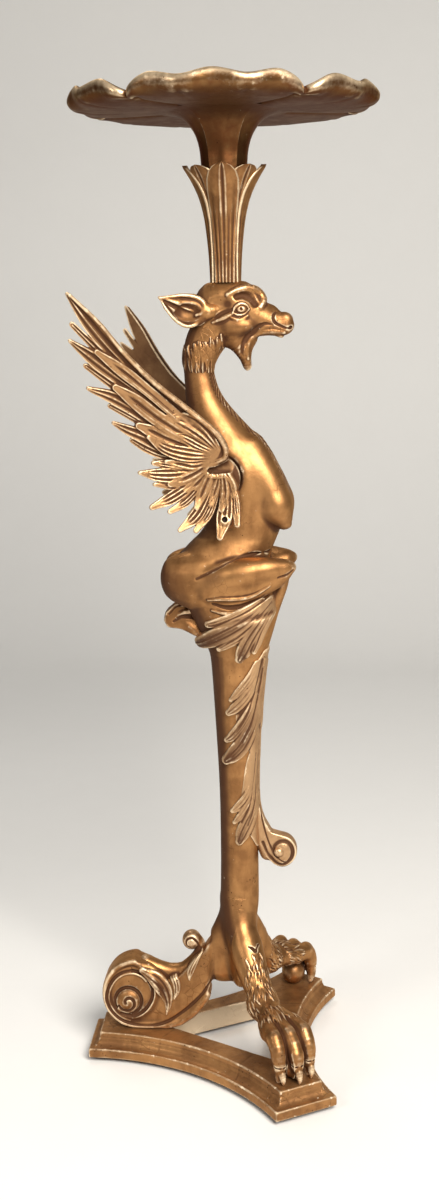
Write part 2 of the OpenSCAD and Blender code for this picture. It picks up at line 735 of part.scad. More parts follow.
// Wing of the left side, whose leading feather has the given length
module wing(lead) {
    difference() {
        translate([wing_x, wing_seat, wing_z]) union() {
            rod([0, 0, 0], wing_pad_r, wing_t, "y");
            rod([wing_screw_x - wing_x, 0, wing_screw_z - wing_z], 10, rise(wing_z - wing_screw_z, lead) + 1, "y");
            resize([0, wing_tip_y - wing_seat, 0]) plumage(lead);
        }
        translate([-big, wing_seat - big, 0]) cube([2 * big, big, 2 * top_z]);
        rod([wing_x, wing_seat - 1, wing_z], small_dowel_r + fit, 15, "y");
        rod([wing_screw_x, wing_seat - 1, wing_screw_z], screw_r + fit, wing_t + 1, "y");
        rod([wing_screw_x, wing_screw_y - screw_head_t, wing_screw_z], screw_head_r + fit, wing_t + 10, "y");
    }
}

module left_wing() {
    color(gilt) wing(left_wing_len);
}

module right_wing() {
    color(gilt) mirror([0, 1, 0]) wing(right_wing_len);
}

// Head

// Rings of the skull and muzzle, from the back of the head to the nose
function skull() = [for (s = smooth([[-40, 0.76, 3, 0.1], [-34, 0.76, 18, 0.55], [-18, 0.75, 31, 0.92],
        [4, 0.73, 34, 1], [24, 0.71, 33, 0.92], [38, 0.65, 29, 0.75], [52, 0.58, 20, 0.6],
        [66, 0.535, 16, 0.48], [77, 0.52, 12, 0.42], [83, 0.52, 7, 0.24], [85, 0.52, 1.5, 0.06]], 2))
    let(snout = min(1, max(0, (s[0] - 38) / 28)))
    cross_ring([s[0], 0, head_z + head_h * s[1], s[2],
        s[3] * ((1 - snout) * skull_half + snout * 2.1 * nose_half)], 20)];

module head() {
    throat = [[0, collar_x - collar_r, collar_x + collar_r, collar_r], [0.11, -55, -15, 20],
        [0.24, -54, -7, 22], [0.36, -52, 5, 23], [0.5, -46, 12, 24], [0.66, -36, 16, 23]];
    jaw = [[0.02, 25, 27, 1], [0.06, 21, 31, 5], [0.16, 18, 34, 8], [0.28, 12, 37, 12], [0.4, 6, 40, 16]];
    color(gilt) difference() {
        union() {
            skin(skull());
            skin([for (s = smooth(raised(throat, head_z, head_h), 2)) level_ring(s, 20, 0, 0.95)]);
            skin([for (s = smooth(raised(jaw, head_z, head_h), 2)) level_ring(s, 14, 0, 0.95)]);
        }
        translate([-big, -big, capital_z]) cube([2 * big, 2 * big, big]);
        dowel_bore(collar_x, head_z);
        dowel_bore(0, capital_z);
        for (s = [-1, 1]) {
            rod([ear_x, s > 0 ? ear_seat : -ear_seat - big, ear_z], 14, big, "y");
            rod([ear_x, s > 0 ? ear_seat - 8 : -ear_seat - 1, ear_z], peg_r + fit, 9, "y");
        }
    }
}

// Folded ear of the left side, pointing back, with its peg
module ear() {
    translate([ear_x, 0, ear_z]) {
        intersection() {
            skin([for (s = smooth([[12, 0, 0, 3, 2], [8, 0.05, 0, 9, 6], [-6, 0.1, 0, 15, 8],
                    [-0.45 * ear_len, 0.14, 1, 17, 6], [-0.75 * ear_len, 0.2, 6, 10, 4],
                    [-ear_len, 0.26, 12, 1.5, 1.5]], 2))
                cross_ring([s[0], ear_seat + 3 + s[1] * ear_len, s[2], s[3], -s[4]], 14)]);
            translate([-big, ear_seat, -big]) cube([2 * big, big, 2 * big]);
        }
        rod([0, ear_seat - 7, 0], peg_r, 12, "y");
    }
}

module left_ear() {
    color(gilt) ear();
}

module right_ear() {
    color(gilt) mirror([0, 1, 0]) ear();
}

module capital_dowel() { dowel(0, capital_z); }

// Top

// Share of a main leaf in direction a, of four leaves with four shorter ones between them
function leaf_share(a) = max(pow(cos(4 * a) * 0.5 + 0.5, 0.6), 0.35);

// Outer radius of the capital at height share t and direction a
function capital_at(t, a) = let(flare = pow(t, 3.2)) stem_r * (1 + 0.62 * t)
    + (leaf_r - stem_r * 1.62) * flare * leaf_share(a) + 0.8 * cos(16 * a) * min(1, 4 * t) * (1 - flare);

// Ring of the capital from a height share, a step in from the outside and a step down from the tips
function capital_ring(t, inset, drop) = [for (i = [0:63]) let(a = i * 5.625,
        r = capital_at(t, a) - inset, low = drop + (1 - leaf_share(a)) * 5 * pow(t, 6))
    [r * cos(a), r * sin(a), capital_z + t * (capital_h + leaf_rise) - low]];

module leaf_capital() {
    cup = [for (i = [0:63]) [(neck_r + 2) * cos(i * 5.625), (neck_r + 2) * sin(i * 5.625), neck_z]];
    color(gilt) difference() {
        skin(concat([for (t = [0:1 / 13:1.001]) capital_ring(t, 0, 0)],
            [capital_ring(1, leaf_t / 2, -0.5), capital_ring(1, leaf_t - 1, 4), cup]));
        dowel_bore(0, capital_z);
        rod([0, 0, neck_z - tenon_len], tenon_r + fit, tenon_len + 1);
    }
}

// Turned neck with a tenon at each end
module dish_neck() {
    color(gilt) union() {
        rotate_extrude() polygon([[0, neck_z], [neck_r, neck_z], [neck_r + 0.5, neck_z + 0.3 * neck_h],
            [neck_r + 3.5, neck_z + 0.55 * neck_h], [neck_r + 8, neck_z + 0.75 * neck_h],
            [neck_top_r - 7, neck_z + 0.9 * neck_h], [neck_top_r, dish_z], [0, dish_z]]);
        rod([0, 0, neck_z - tenon_len + 0.5], tenon_r, tenon_len);
        rod([0, 0, dish_z - 1], tenon_r, tenon_len - 0.5);
    }
}

// Outer radius and rim height of the dish in direction a, with a petal centred on -90 degrees
function petal_at(a) = let(p = 360 / petals, u = ((a + 90 + p / 2) % p) / (p / 2) - 1, v = abs(u))
    [dish_r - notch * pow(v, 9) - 2.5 * (1 + cos(540 * u)) / 2, 1 - 0.35 * pow(v, 5) - 0.12 * (1 - cos(540 * u)) / 2];

// Rings of the dish from under its middle, out over the rim and back in to the floor
function dish_ring(k, n) = [for (i = [0:n - 1]) let(a = 360 * i / n, p = petal_at(a), r = p[0],
        rim = dish_h * p[1], floor_z = 6, well_z = floor_z + dish_t, deep = rim - well_z,
        crease = 3 * pow(abs(((a + 90 + 180 / petals) % (360 / petals)) / (180 / petals) - 1), 9),
        at = [[neck_top_r, 0], [neck_top_r + 12, 5 + crease], [0.45 * r, floor_z + crease], [0.72 * r, floor_z + crease],
            [0.87 * r, floor_z + 3 + crease], [0.955 * r, 0.42 * rim], [r, 0.74 * rim], [r - 1, 0.93 * rim],
            [r - 5, rim], [r - dish_t, well_z + 0.95 * deep], [r - dish_t - 5, well_z + 0.66 * deep],
            [0.87 * r, well_z + 0.3 * deep], [0.76 * (dish_r - notch), well_z]][k])
    [at[0] * cos(a), at[0] * sin(a), dish_z + at[1]]];

module dish() {
    color(gilt) difference() {
        skin([for (k = [0:12]) dish_ring(k, 100)]);
        rod([0, 0, dish_z - 1], tenon_r + fit, tenon_len + 1);
    }
}

dish();
dish_neck();
leaf_capital();
capital_dowel();
head();
left_ear();
right_ear();
neck_dowel();
torso();
left_wing();
right_wing();
wing_dowels();
wing_screws();
waist_dowel();
haunches();
left_skirt_leaf();
right_skirt_leaf();
tail_leaf();
haunch_dowel();
shaft();
drop_leaf();
front_volute();
shaft_dowel();
leg_hub();
scroll_leg();
scroll_leaf();
left_paw_leg();
right_paw_leg();
leg_dowels();
rear_corner();
left_corner();
right_corner();
front_rail();
left_rail();
right_rail();
rail_tenons();
foot_screws();
rear_pad();
left_pad();
right_pad();
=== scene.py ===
import math

import bmesh
import bpy
import numpy as np
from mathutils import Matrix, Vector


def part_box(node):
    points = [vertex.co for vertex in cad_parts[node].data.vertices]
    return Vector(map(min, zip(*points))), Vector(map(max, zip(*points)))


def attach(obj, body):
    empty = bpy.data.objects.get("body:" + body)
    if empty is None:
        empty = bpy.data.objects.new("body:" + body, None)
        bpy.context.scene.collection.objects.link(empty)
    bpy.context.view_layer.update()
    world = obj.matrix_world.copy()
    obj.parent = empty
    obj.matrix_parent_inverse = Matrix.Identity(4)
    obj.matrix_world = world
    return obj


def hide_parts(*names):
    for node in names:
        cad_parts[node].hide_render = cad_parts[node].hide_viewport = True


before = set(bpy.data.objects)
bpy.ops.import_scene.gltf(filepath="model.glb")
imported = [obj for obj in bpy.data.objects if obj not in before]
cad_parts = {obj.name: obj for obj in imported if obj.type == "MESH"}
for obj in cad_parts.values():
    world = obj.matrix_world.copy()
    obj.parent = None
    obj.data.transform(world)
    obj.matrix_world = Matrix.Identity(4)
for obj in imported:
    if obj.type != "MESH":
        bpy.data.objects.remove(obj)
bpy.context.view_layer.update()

import openvdb
from bpy.props import FloatProperty, FloatVectorProperty, PointerProperty
from bpy.types import Operator, Panel, PropertyGroup
from mathutils import Matrix, Vector

bl_info = {
    "name": "Carved vase stand",
    "version": (1, 0, 0),
    "blender": (4, 5, 0),
    "location": "3D View > Sidebar > Vase stand",
    "description": "Dresses the gilded vase stand on its frame",
    "category": "Object",
}

MM = 0.001


# Sizes and colours


def length(name, description, default, low, high):
    return FloatProperty(
        name=name, description=description, default=default, min=low, max=high, unit="LENGTH", precision=5
    )


def power(name, description, default):
    return FloatProperty(name=name, description=description, default=default, min=0.0, max=400.0,
        unit="POWER")


def angle(name, description, degrees):
    default = math.radians(degrees)
    return FloatProperty(name=name, description=description, default=default, subtype="ANGLE",
        unit="ROTATION")


def colour(name, description, value):
    return FloatVectorProperty(
        name=name, description=description, subtype="COLOR", size=4, min=0.0, max=1.0, default=(*value, 1.0)
    )


class StandSizes(PropertyGroup):
    head_grain: length("Head carving grain", "Finest step cut in the head", 0.0006, 0.0004, 0.002)
    body_grain: length("Body carving grain", "Finest step cut in the body and haunches", 0.0009, 0.0006,
        0.003)
    wing_grain: length("Wing carving grain", "Finest step cut in the feathers", 0.0008, 0.0005, 0.003)
    leg_grain: length("Leg carving grain", "Finest step cut in the legs", 0.0007, 0.0005, 0.003)
    leaf_grain: length("Leaf carving grain", "Finest step cut in the leaves and the shaft", 0.0007, 0.0005,
        0.003)
    plinth_grain: length("Plinth carving grain", "Finest step cut in the plinth", 0.001, 0.0006, 0.003)
    hair_width: length("Hair width", "Half width of one carved lock", 0.0011, 0.0005, 0.003)
    leaf_lift: length("Leaf lift", "How far the leaves stand off the body", 0.0042, 0.002, 0.008)
    rim_dents: length("Rim unevenness", "How uneven the hand cut edge of the dish is", 0.0012, 0.0, 0.004)


class StandFinish(PropertyGroup):
    gold: colour("Gold", "Burnished leaf on the carved parts", (0.39, 0.196, 0.074))
    # Pale gold is the worn leaf on edges and ridges, and also the painted highlight on them
    pale_gold: colour("Pale gold", "Rubbed edges and ridges", (0.95, 0.75, 0.50))
    # This brown is old size and grime in the hollows, and also painted shade in hollows, on undersides and on
    # sides turned back
    hollow_brown: colour("Hollow brown", "Old size and dirt in the hollows", (0.060, 0.020, 0.008))
    glaze_brown: colour("Brown glaze", "Cloudy dark glaze over the leaf", (0.115, 0.042, 0.015))
    gesso: colour("Gesso", "Chips that show the pale ground", (0.80, 0.66, 0.48))
    bare_wood: colour("Bare wood", "Wood without leaf", (0.55, 0.36, 0.19))
    steel: colour("Steel", "Screws", (0.15, 0.12, 0.10))


class StandStage(PropertyGroup):
    paper: colour("Backdrop", "Plain pale floor and backdrop", (0.86, 0.86, 0.85))
    key_watts: power("Key lamp", "Power of the main soft lamp", 120.0)
    fill_watts: power("Fill lamp", "Power of the weak soft lamp", 12.0)
    rim_watts: power("Back lamp", "Power of the lamp behind", 10.0)
    sky: FloatProperty(name="Sky", description="Strength of the even light", default=0.09, min=0.0, max=3.0)
    camera_at: FloatVectorProperty(
        name="Camera place",
        description="Where the camera stands",
        default=(0.1227, -1.8710, 0.93625),
        subtype="TRANSLATION",
        unit="LENGTH",
        size=3,
    )
    camera_turn: angle("Camera turn", "Turn of the camera to the left", 4.0)
    camera_roll: angle("Camera roll", "Tilt of the picture", -0.8)


def sizes():
    return bpy.context.scene.stand_sizes


def finish():
    return bpy.context.scene.stand_finish


# Shaping tools, in millimetres

FAR = 9.0  # the distance that empty clay starts from
CAD_REACH = 8.0  # how far round a CAD solid the distances are known
MOST_LIFT = 7.2  # what is laid on a side stays within that reach
LANE_ROOM = 3.0  # how far past its edge a lane is worked out


def ease(a, b, x):
    """From 0 at a to 1 at b, with soft ends."""
    t = np.clip((np.asarray(x, np.float32) - a) / (b - a), 0, 1)
    return t * t * (3 - 2 * t)


def bell(x, middle, width):
    """A soft bump, 1 at its middle."""
    return np.exp(-(((x - middle) / width) ** 2))


def meld(a, b, k):
    """Union of two distances with a fillet of about k."""
    if k <= 0:
        return np.minimum(a, b)
    h = np.clip(0.5 + 0.5 * (b - a) / k, 0, 1)
    return b * (1 - h) + a * h - k * h * (1 - h)


def read(items, name, kind=np.float32, width=3):
    """One value of every item of a mesh, as rows."""
    out = np.zeros(len(items) * width, kind)
    items.foreach_get(name, out)
    return out.reshape(-1, width)


def spline(points, count):
    """A smooth curve through the points, evenly shared between them."""
    p = np.array(points, float)
    if len(p) == 2:
        return p[0] + np.linspace(0, 1, count)[:, None] * (p[1] - p[0])
    e = np.vstack([2 * p[0] - p[1], p, 2 * p[-1] - p[-2]])
    t = np.linspace(0, len(p) - 1, count)
    i = np.minimum(t.astype(int), len(p) - 2)
    f = (t - i)[:, None]
    a, b, c, d = e[i], e[i + 1], e[i + 2], e[i + 3]
    return 0.5 * (2 * b + (c - a) * f + (2 * a - 5 * b + 4 * c - d) * f**2 + (3 * b - a - 3 * c + d) * f**3)


def nearest(points, a, b):
    """For flat arrays of places a, b: share along the path, and signed distance from it."""
    best = np.full(a.shape, 1e9, np.float32)
    share = np.zeros(a.shape, np.float32)
    sign = np.ones(a.shape, np.float32)
    n = len(points) - 1
    for k in range(n):
        x0, y0 = points[k]
        dx, dy = points[k + 1] - points[k]
        length = max(dx * dx + dy * dy, 1e-9)
        px, py = a - x0, b - y0
        t = np.clip((px * dx + py * dy) / length, 0, 1)
        qx, qy = px - t * dx, py - t * dy
        d = qx * qx + qy * qy
        near = d < best
        best = np.where(near, d, best)
        share = np.where(near, (k + t) / n, share)
        sign = np.where(near, np.where(dx * py - dy * px < 0, 1.0, -1.0), sign)
    return np.sqrt(best), share, sign


class Lane:
    """A strip along a path in a plane of the clay: how far along, how far out, and how far past its edge."""

    def __init__(self, clay, plane, stations, count):
        line = spline(stations, count)
        self.plane = plane
        path, half = line[:, :2], np.maximum(line[:, 2], 0.4)
        reach = half.max() + LANE_ROOM
        i, j = plane
        self.si = clay.span(i, path[:, 0].min() - reach, path[:, 0].max() + reach)
        self.sj = clay.span(j, path[:, 1].min() - reach, path[:, 1].max() + reach)
        a = clay.ax[i][self.si][:, None] + np.zeros((1, len(clay.ax[j][self.sj])), np.float32)
        b = clay.ax[j][self.sj][None, :] + np.zeros((len(clay.ax[i][self.si]), 1), np.float32)
        dist, self.t, sign = nearest(path, a, b)
        width = np.interp(self.t, np.linspace(0, 1, count), half).astype(np.float32)
        self.e = dist / width
        self.s = sign * self.e
        self.past = dist - width

    def shaped(self, flat):
        """The flat array laid out so that it fits the clay's three directions."""
        order = [None, None, None]
        order[self.plane[0]] = slice(None)
        order[self.plane[1]] = slice(None)
        return flat[tuple(order)]


class Clay:
    """A block as a grid of distances to its surface, in mm. Half blocks have y from 0 up and are mirrored."""

    def __init__(self, low, high, step, half=False):
        self.step = float(step)
        self.half = half
        self.low = np.array(low, np.float32)
        if half:
            self.low[1] = 0
        n = [int(math.ceil((h - l) / step)) + 1 for l, h in zip(self.low, high)]
        self.d = np.full(n, FAR, np.float32)
        self.ax = [self.low[k] + self.step * np.arange(n[k], dtype=np.float32) for k in range(3)]

    def span(self, axis, a, b):
        n = self.d.shape[axis]
        i = int(np.clip(math.floor((a - self.low[axis]) / self.step), 0, n - 1))
        j = int(np.clip(math.ceil((b - self.low[axis]) / self.step) + 1, i + 1, n))
        return slice(i, j)

    def room(self, low, high):
        s = tuple(self.span(k, low[k], high[k]) for k in range(3))
        x, y, z = (self.ax[k][s[k]] for k in range(3))
        return s, x[:, None, None], y[None, :, None], z[None, None, :]

    def along(self, axis, values):
        """The values laid out along one of the clay's three directions."""
        return values.reshape([-1 if k == axis else 1 for k in range(3)])

    def join(self, room, f, k, cut):
        """Adds a form to the clay within a room of it, or cuts it out, with a fillet of about k."""
        self.d[room] = -meld(-self.d[room], f, k) if cut else meld(self.d[room], f, k)
        return self

    def from_cad(self, *names, turn=0.0):
        """Adds the named CAD solids, turned round Z by minus the angle given."""
        c, s = math.cos(turn), math.sin(turn)
        for name in names:
            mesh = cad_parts[name].data
            mesh.calc_loop_triangles()
            co = read(mesh.vertices, "co") * 1000
            x, y = co[:, 0] * c + co[:, 1] * s, co[:, 1] * c - co[:, 0] * s
            co[:, 0], co[:, 1] = x, y
            low, start = self.low.copy(), np.zeros(3, int)
            if self.half:
                start[1] = int(math.ceil(CAD_REACH / self.step)) + 2
                low[1] -= start[1] * self.step
            grid = openvdb.FloatGrid.createLevelSetFromPolygons(
                ((co - low) / self.step).astype(np.float32),
                triangles=read(mesh.loop_triangles, "vertices", np.int32).astype(np.uint32),
                transform=openvdb.createLinearTransform(1.0),
                halfWidth=CAD_REACH / self.step,
            )
            block = np.zeros(self.d.shape, np.float32)
            grid.copyToArray(block, ijk=tuple(int(v) for v in start))
            self.d = np.minimum(self.d, block * self.step)
        return self

    def soften(self, width):
        """Blurs the distances, which rounds the facets and edges."""
        sigma = width / self.step
        n = max(1, int(2.5 * sigma))
        k = np.exp(-0.5 * (np.arange(-n, n + 1) / sigma) ** 2)
        k = (k / k.sum()).astype(np.float32)
        for axis in range(3):
            pad = [(0, 0)] * 3
            pad[axis] = (n, n)
            p = np.pad(self.d, pad, mode="reflect" if (axis == 1 and self.half) else "edge")
            out = np.zeros_like(self.d)
            for i, w in enumerate(k):
                cut = [slice(None)] * 3
                cut[axis] = slice(i, i + self.d.shape[axis])
                out += w * p[tuple(cut)]
            self.d = out
        return self

    def bridge(self, point, normal, width=3.5):
        """Runs the surface on over a seam between two blocks, so that no groove is left there."""
        p0, n = np.array(point, np.float32), np.array(normal, np.float32)
        n = n / np.linalg.norm(n)
        t = sum(self.along(k, self.ax[k] - p0[k]) * n[k] for k in range(3))
        where = np.nonzero(np.broadcast_to(np.abs(t) < width, self.d.shape) & (self.d < 5) & (self.d > -9))
        t = np.broadcast_to(t, self.d.shape)[where]
        p = np.stack([self.ax[k][where[k]] for k in range(3)], 1)
        ahead, behind = self.at(p + n * (width - t)[:, None]), self.at(p - n * (width + t)[:, None])
        share = (t + width) / (2 * width)
        self.d[where] = behind * (1 - share) + ahead * share
        return self

    def ball(self, centre, radii, k=2.0, cut=False):
        """A round or stretched ball."""
        r = np.array(radii, np.float32) * np.ones(3, np.float32)
        c = np.array(centre, np.float32)
        s, x, y, z = self.room(c - r - 2 * k - 2, c + r + 2 * k + 2)
        q = np.sqrt(((x - c[0]) / r[0]) ** 2 + ((y - c[1]) / r[1]) ** 2 + ((z - c[2]) / r[2]) ** 2)
        return self.join(s, (q - 1) * r.min(), k, cut)

    def limb(self, stations, k=2.0, cut=False, count=10):
        """A tapering rod through stations of x, y, z, radius."""
        p = spline(stations, count)
        r = p[:, 3].max() + 2 * k + 2
        s, x, y, z = self.room(p[:, :3].min(0) - r, p[:, :3].max(0) + r)
        f = None
        for a, b in zip(p[:-1], p[1:]):
            dx, dy, dz = b[:3] - a[:3]
            n = max(dx * dx + dy * dy + dz * dz, 1e-9)
            t = np.clip(((x - a[0]) * dx + (y - a[1]) * dy + (z - a[2]) * dz) / n, 0, 1)
            g = np.sqrt((x - a[0] - t * dx) ** 2 + (y - a[1] - t * dy) ** 2 + (z - a[2] - t * dz) ** 2)
            g = g - (a[3] + t * (b[3] - a[3]))
            f = g if f is None else np.minimum(f, g)
        return self.join(s, f.astype(np.float32), k, cut)

    def layer(self, stations, top, base, plane=(0, 2), least=None, k=0.6, count=28, depth=None):
        """Lays a leaf along a path: the base surface lifted by top(lane) inside the lane's edge."""
        lane = Lane(self, plane, stations, count)
        third = 3 - sum(plane)
        cut = [slice(None)] * 3
        cut[plane[0]], cut[plane[1]] = lane.si, lane.sj
        cut = tuple(cut)
        under = base[cut]
        lift = np.asarray(top(lane), np.float32)
        if third == 1:
            lift = np.minimum(lift, MOST_LIFT)
        f = np.maximum(under - lane.shaped(lift), lane.shaped(lane.past))
        if depth is not None:
            f = np.maximum(f, -depth - under)
        if least is not None:
            f = np.maximum(f, least - self.along(third, self.ax[third]))
        self.d[cut] = meld(self.d[cut], f, k)
        return self

    def cell(self, axis, place):
        return int(np.clip(round((place - self.low[axis]) / self.step), 0, self.d.shape[axis] - 1))

    def out(self, x, z):
        """How far out the surface lies at a place of the side view."""
        inside = np.nonzero(self.d[self.cell(0, x), :, self.cell(2, z)] < 0)[0]
        return float(self.ax[1][inside[-1]]) if len(inside) else 0.0

    def peak(self, x, y):
        """How high the surface lies at a place of the plan."""
        inside = np.nonzero(self.d[self.cell(0, x), self.cell(1, y), :] < 0)[0]
        return float(self.ax[2][inside[-1]]) if len(inside) else float(self.low[2])

    def vein(self, stations, lift=0.0, k=1.0, cut=False, count=16):
        """A cord laid on (or cut into) the side of the carving, along stations of x, z, radius."""
        line = spline(stations, count)
        ys = np.array([self.out(x, z) for x, z, _ in line])
        if len(ys) > 4:
            ys = np.convolve(np.pad(ys, 2, mode="edge"), [0.15, 0.2, 0.3, 0.2, 0.15], mode="valid")
        places = [(x, max(y + lift, 0), z, r) for (x, z, r), y in zip(line, ys)]
        return self.limb(places, k=k, cut=cut, count=count)

    def at(self, p):
        """Distances at places p, between the grid's points."""
        q = (p - self.low) / self.step
        if self.half:
            q[:, 1] = np.abs(q[:, 1])
        n = np.array(self.d.shape)
        q = np.clip(q, 0, n - 1.001)
        i = q.astype(np.int32)
        f = (q - i).astype(np.float32)
        out = np.zeros(len(p), np.float32)
        for corner in np.ndindex(2, 2, 2):
            x, y, z = (f[:, k] if near else 1 - f[:, k] for k, near in enumerate(corner))
            out += x * y * z * self.d[tuple((i + corner).T)]
        return out

    def normals(self, p):
        """Which way the surface faces at places p."""
        n = np.zeros((len(p), 3), np.float32)
        for k in range(3):
            e = np.zeros(3, np.float32)
            e[k] = 0.75 * self.step
            n[:, k] = self.at(p + e) - self.at(p - e)
        return n / np.maximum(np.linalg.norm(n, axis=1, keepdims=True), 1e-6)

    def skin(self):
        """The surface as points in mm and quads that face out."""
        d = self.d
        low = self.low.copy()
        if self.half:
            d = np.concatenate([d[:, :0:-1, :], d], axis=1)
            low[1] = -self.step * (self.d.shape[1] - 1)
        d = np.pad(d, 1, constant_values=3.0)
        grid = openvdb.FloatGrid(4.0)
        grid.copyFromArray(np.clip(d / self.step, -4, 4), tolerance=0.0)
        points, quads = grid.convertToQuads(0.0)
        points = (points - 1) * self.step + low
        quads = quads.astype(np.int64)
        v = points[quads[: min(len(quads), 4000)]]
        face = np.cross(v[:, 2] - v[:, 0], v[:, 3] - v[:, 1])
        if (face * self.normals(v.mean(1).astype(np.float32))).sum() < 0:
            quads = quads[:, ::-1]
        return points.astype(np.float32), quads

    def strands(self, where, along, count, length, radius, seed, lift=0.15, k=0.5, sway=0.22):
        """Lays carved locks on the surface: where(points) picks their places, along(points) their direction."""
        rng = np.random.default_rng(seed)
        points, _ = self.skin()
        if self.half:
            points = points[points[:, 1] >= 0]
        points = points[where(points)]
        if not len(points):
            raise RuntimeError("no place for the locks")
        points = points[rng.permutation(len(points))[:count]]
        grown = rng.uniform(0.7, 1.25, len(points)).astype(np.float32)
        lean = rng.normal(0, sway, (len(points), 3)).astype(np.float32)
        runs = [points]
        for _ in range(4):
            p = runs[-1]
            n = self.normals(p)
            v = along(p) + lean
            v = v - n * (v * n).sum(1, keepdims=True)
            v = v / np.maximum(np.linalg.norm(v, axis=1, keepdims=True), 1e-6)
            p = p + v * (length / 4 * grown)[:, None]
            p = p - self.normals(p) * self.at(p)[:, None]
            runs.append(p)
        for i in range(len(points)):
            lock = []
            for step, share in zip(runs, (0.55, 1.0, 1.0, 0.75, 0.15)):
                n = self.normals(step[i : i + 1])[0]
                c = step[i] + n * lift
                lock.append((c[0], abs(c[1]) if self.half else c[1], c[2], radius * grown[i] * share))
            self.limb(lock, k=k, count=6)
        return self


# Meshes


def raw_mesh(name, points, quads):
    """A mesh from points in mm and an array of quads."""
    mesh = bpy.data.meshes.new(name)
    mesh.vertices.add(len(points))
    mesh.vertices.foreach_set("co", (np.asarray(points, np.float32) * MM).ravel())
    mesh.loops.add(quads.size)
    mesh.loops.foreach_set("vertex_index", quads.astype(np.int32).ravel())
    mesh.polygons.add(len(quads))
    mesh.polygons.foreach_set("loop_start", np.arange(0, quads.size, 4, dtype=np.int32))
    mesh.update(calc_edges=True)
    mesh.validate()
    mesh.polygons.foreach_set("use_smooth", np.ones(len(mesh.polygons), bool))
    return mesh


def mark(mesh, name, values):
    """Keeps one number for each point of the mesh, for its finish."""
    mesh.attributes.new(name, "FLOAT", "POINT").data.foreach_set("value", values.astype(np.float32))


def age(mesh, normals=None, shut=None, back=0.0, rim=None):
    """Marks where the surface is a pale ridge, partly worn leaf and partly painted highlight, and where it is
    brown, partly grime in the hollows and partly painted shade in hollows, on undersides, on sides turned back
    and where other carving closes in; mostly from its own bends.
    """
    n = len(mesh.vertices)
    co = read(mesh.vertices, "co").astype(np.float64) * 1000
    a, b = read(mesh.edges, "vertices", np.int32, 2).T
    if normals is None:
        normals = read(mesh.vertices, "normal")
    i = np.concatenate([a, b])
    j = np.concatenate([b, a])
    degree = np.maximum(np.bincount(i, minlength=n), 1)[:, None]

    def relaxed(p):
        s = np.stack([np.bincount(i, weights=p[j, k], minlength=n) for k in range(p.shape[1])], 1)
        return 0.4 * p + 0.6 * s / degree

    length = float(np.median(np.linalg.norm(co[a] - co[b], axis=1)))
    p = co
    bends = []
    done = 0
    for span in (1.6, 4.0, 9.0):
        rounds = int(np.clip((span / length) ** 2 * 0.9, 1, 60))
        while done < rounds:
            p = relaxed(p)
            done += 1
        bends.append(((co - p) * normals).sum(1))
    fine, middle, broad = bends
    # Pale ridges: partly worn leaf on the high points, partly painted highlight; the rim amount adds painted
    # highlight only
    edge = np.clip(fine / 0.20, -1, 1) * 0.28 + np.clip(middle / 0.6, -1, 1) * 0.62
    if rim is not None:
        edge = edge + rim
    # Brown in the hollows found from the bends: partly grime, partly painted shade
    hollow = np.clip(-fine / 0.22, 0, 1) * 0.45 + np.clip(-middle / 0.9, 0, 1) * 0.7
    hollow = hollow + np.clip(-broad / 3.0, 0, 1) * 0.6
    # Painted shade: surfaces that face down are darkened
    hollow = hollow + 0.40 * np.clip(-normals[:, 2] - 0.25, 0, 0.75) / 0.75
    # Painted shade: surfaces turned to the back are darkened, by the back amount
    hollow = hollow + back * ease(0.25, 0.95, -normals[:, 0] + 0.25 * normals[:, 1] ** 2)
    # Painted shade: where other carving closes in
    if shut is not None:
        hollow = hollow + shut
    values = relaxed(np.stack([np.clip(edge, 0, 1), np.clip(hollow, 0, 1.2)], 1))
    mark(mesh, "edge", values[:, 0])
    mark(mesh, "hollow", values[:, 1])


def closed_in(clay, points, normals):
    """How far other carving closes in on each place, from 0 to 0.8; it is used as painted shade."""
    shut = np.zeros(len(points), np.float32)
    for reach in (2.0, 4.5, 7.0):
        shut += np.clip(1 - clay.at(points + normals * reach) / reach, 0, 1)
    return np.clip(shut / 3 * 1.4 - 0.1, 0, 0.8)


def carved_mesh(clay, name, back=0.0):
    """The clay's surface as a mesh with its own normals, with ridges and hollows marked, and with painted shade
    where other carving closes in and on sides turned back.
    """
    points, quads = clay.skin()
    normals = clay.normals(points)
    if callable(back):
        back = back(points)
    mesh = raw_mesh(name, points, quads)
    # Painted shade: where other carving closes in, and on sides turned back
    age(mesh, normals, closed_in(clay, points, normals), back)
    layer = mesh.attributes.new("lie", "FLOAT_VECTOR", "POINT")
    layer.data.foreach_set("vector", normals.astype(np.float32).ravel())
    return mesh


def seal(mesh):
    """Uses the normals kept in the mesh, so that shading runs on over a seam."""
    lie = read(mesh.attributes["lie"].data, "vector")
    lie /= np.maximum(np.linalg.norm(lie, axis=1, keepdims=True), 1e-6)
    mesh.normals_split_custom_set_from_vertices([tuple(v) for v in lie])
    mesh.attributes.remove(mesh.attributes["lie"])
    return mesh


def sawn(mesh, name, cuts):
    """A copy of the mesh, cut by planes of (point in mm, normal); what lies ahead of a plane is removed."""
    bm = bmesh.new()
    bm.from_mesh(mesh)
    for point, normal in cuts:
        geom = bm.verts[:] + bm.edges[:] + bm.faces[:]
        plane = {"plane_co": Vector(point) * MM, "plane_no": Vector(normal)}
        bmesh.ops.bisect_plane(bm, geom=geom, dist=1e-7, clear_outer=True, **plane)
    out = bpy.data.meshes.new(name)
    bm.to_mesh(out)
    bm.free()
    return out


def mirrored(mesh, name):
    """The same mesh on the other side of the middle plane."""
    out = mesh.copy()
    out.name = name
    out.transform(Matrix.Scale(-1, 4, (0, 1, 0)))
    out.flip_normals()
    return out


def ring(r, a, z):
    """Points at distances r and angles a round the axis, at height z."""
    return np.stack([r * np.cos(a), r * np.sin(a), z + 0 * a], -1)


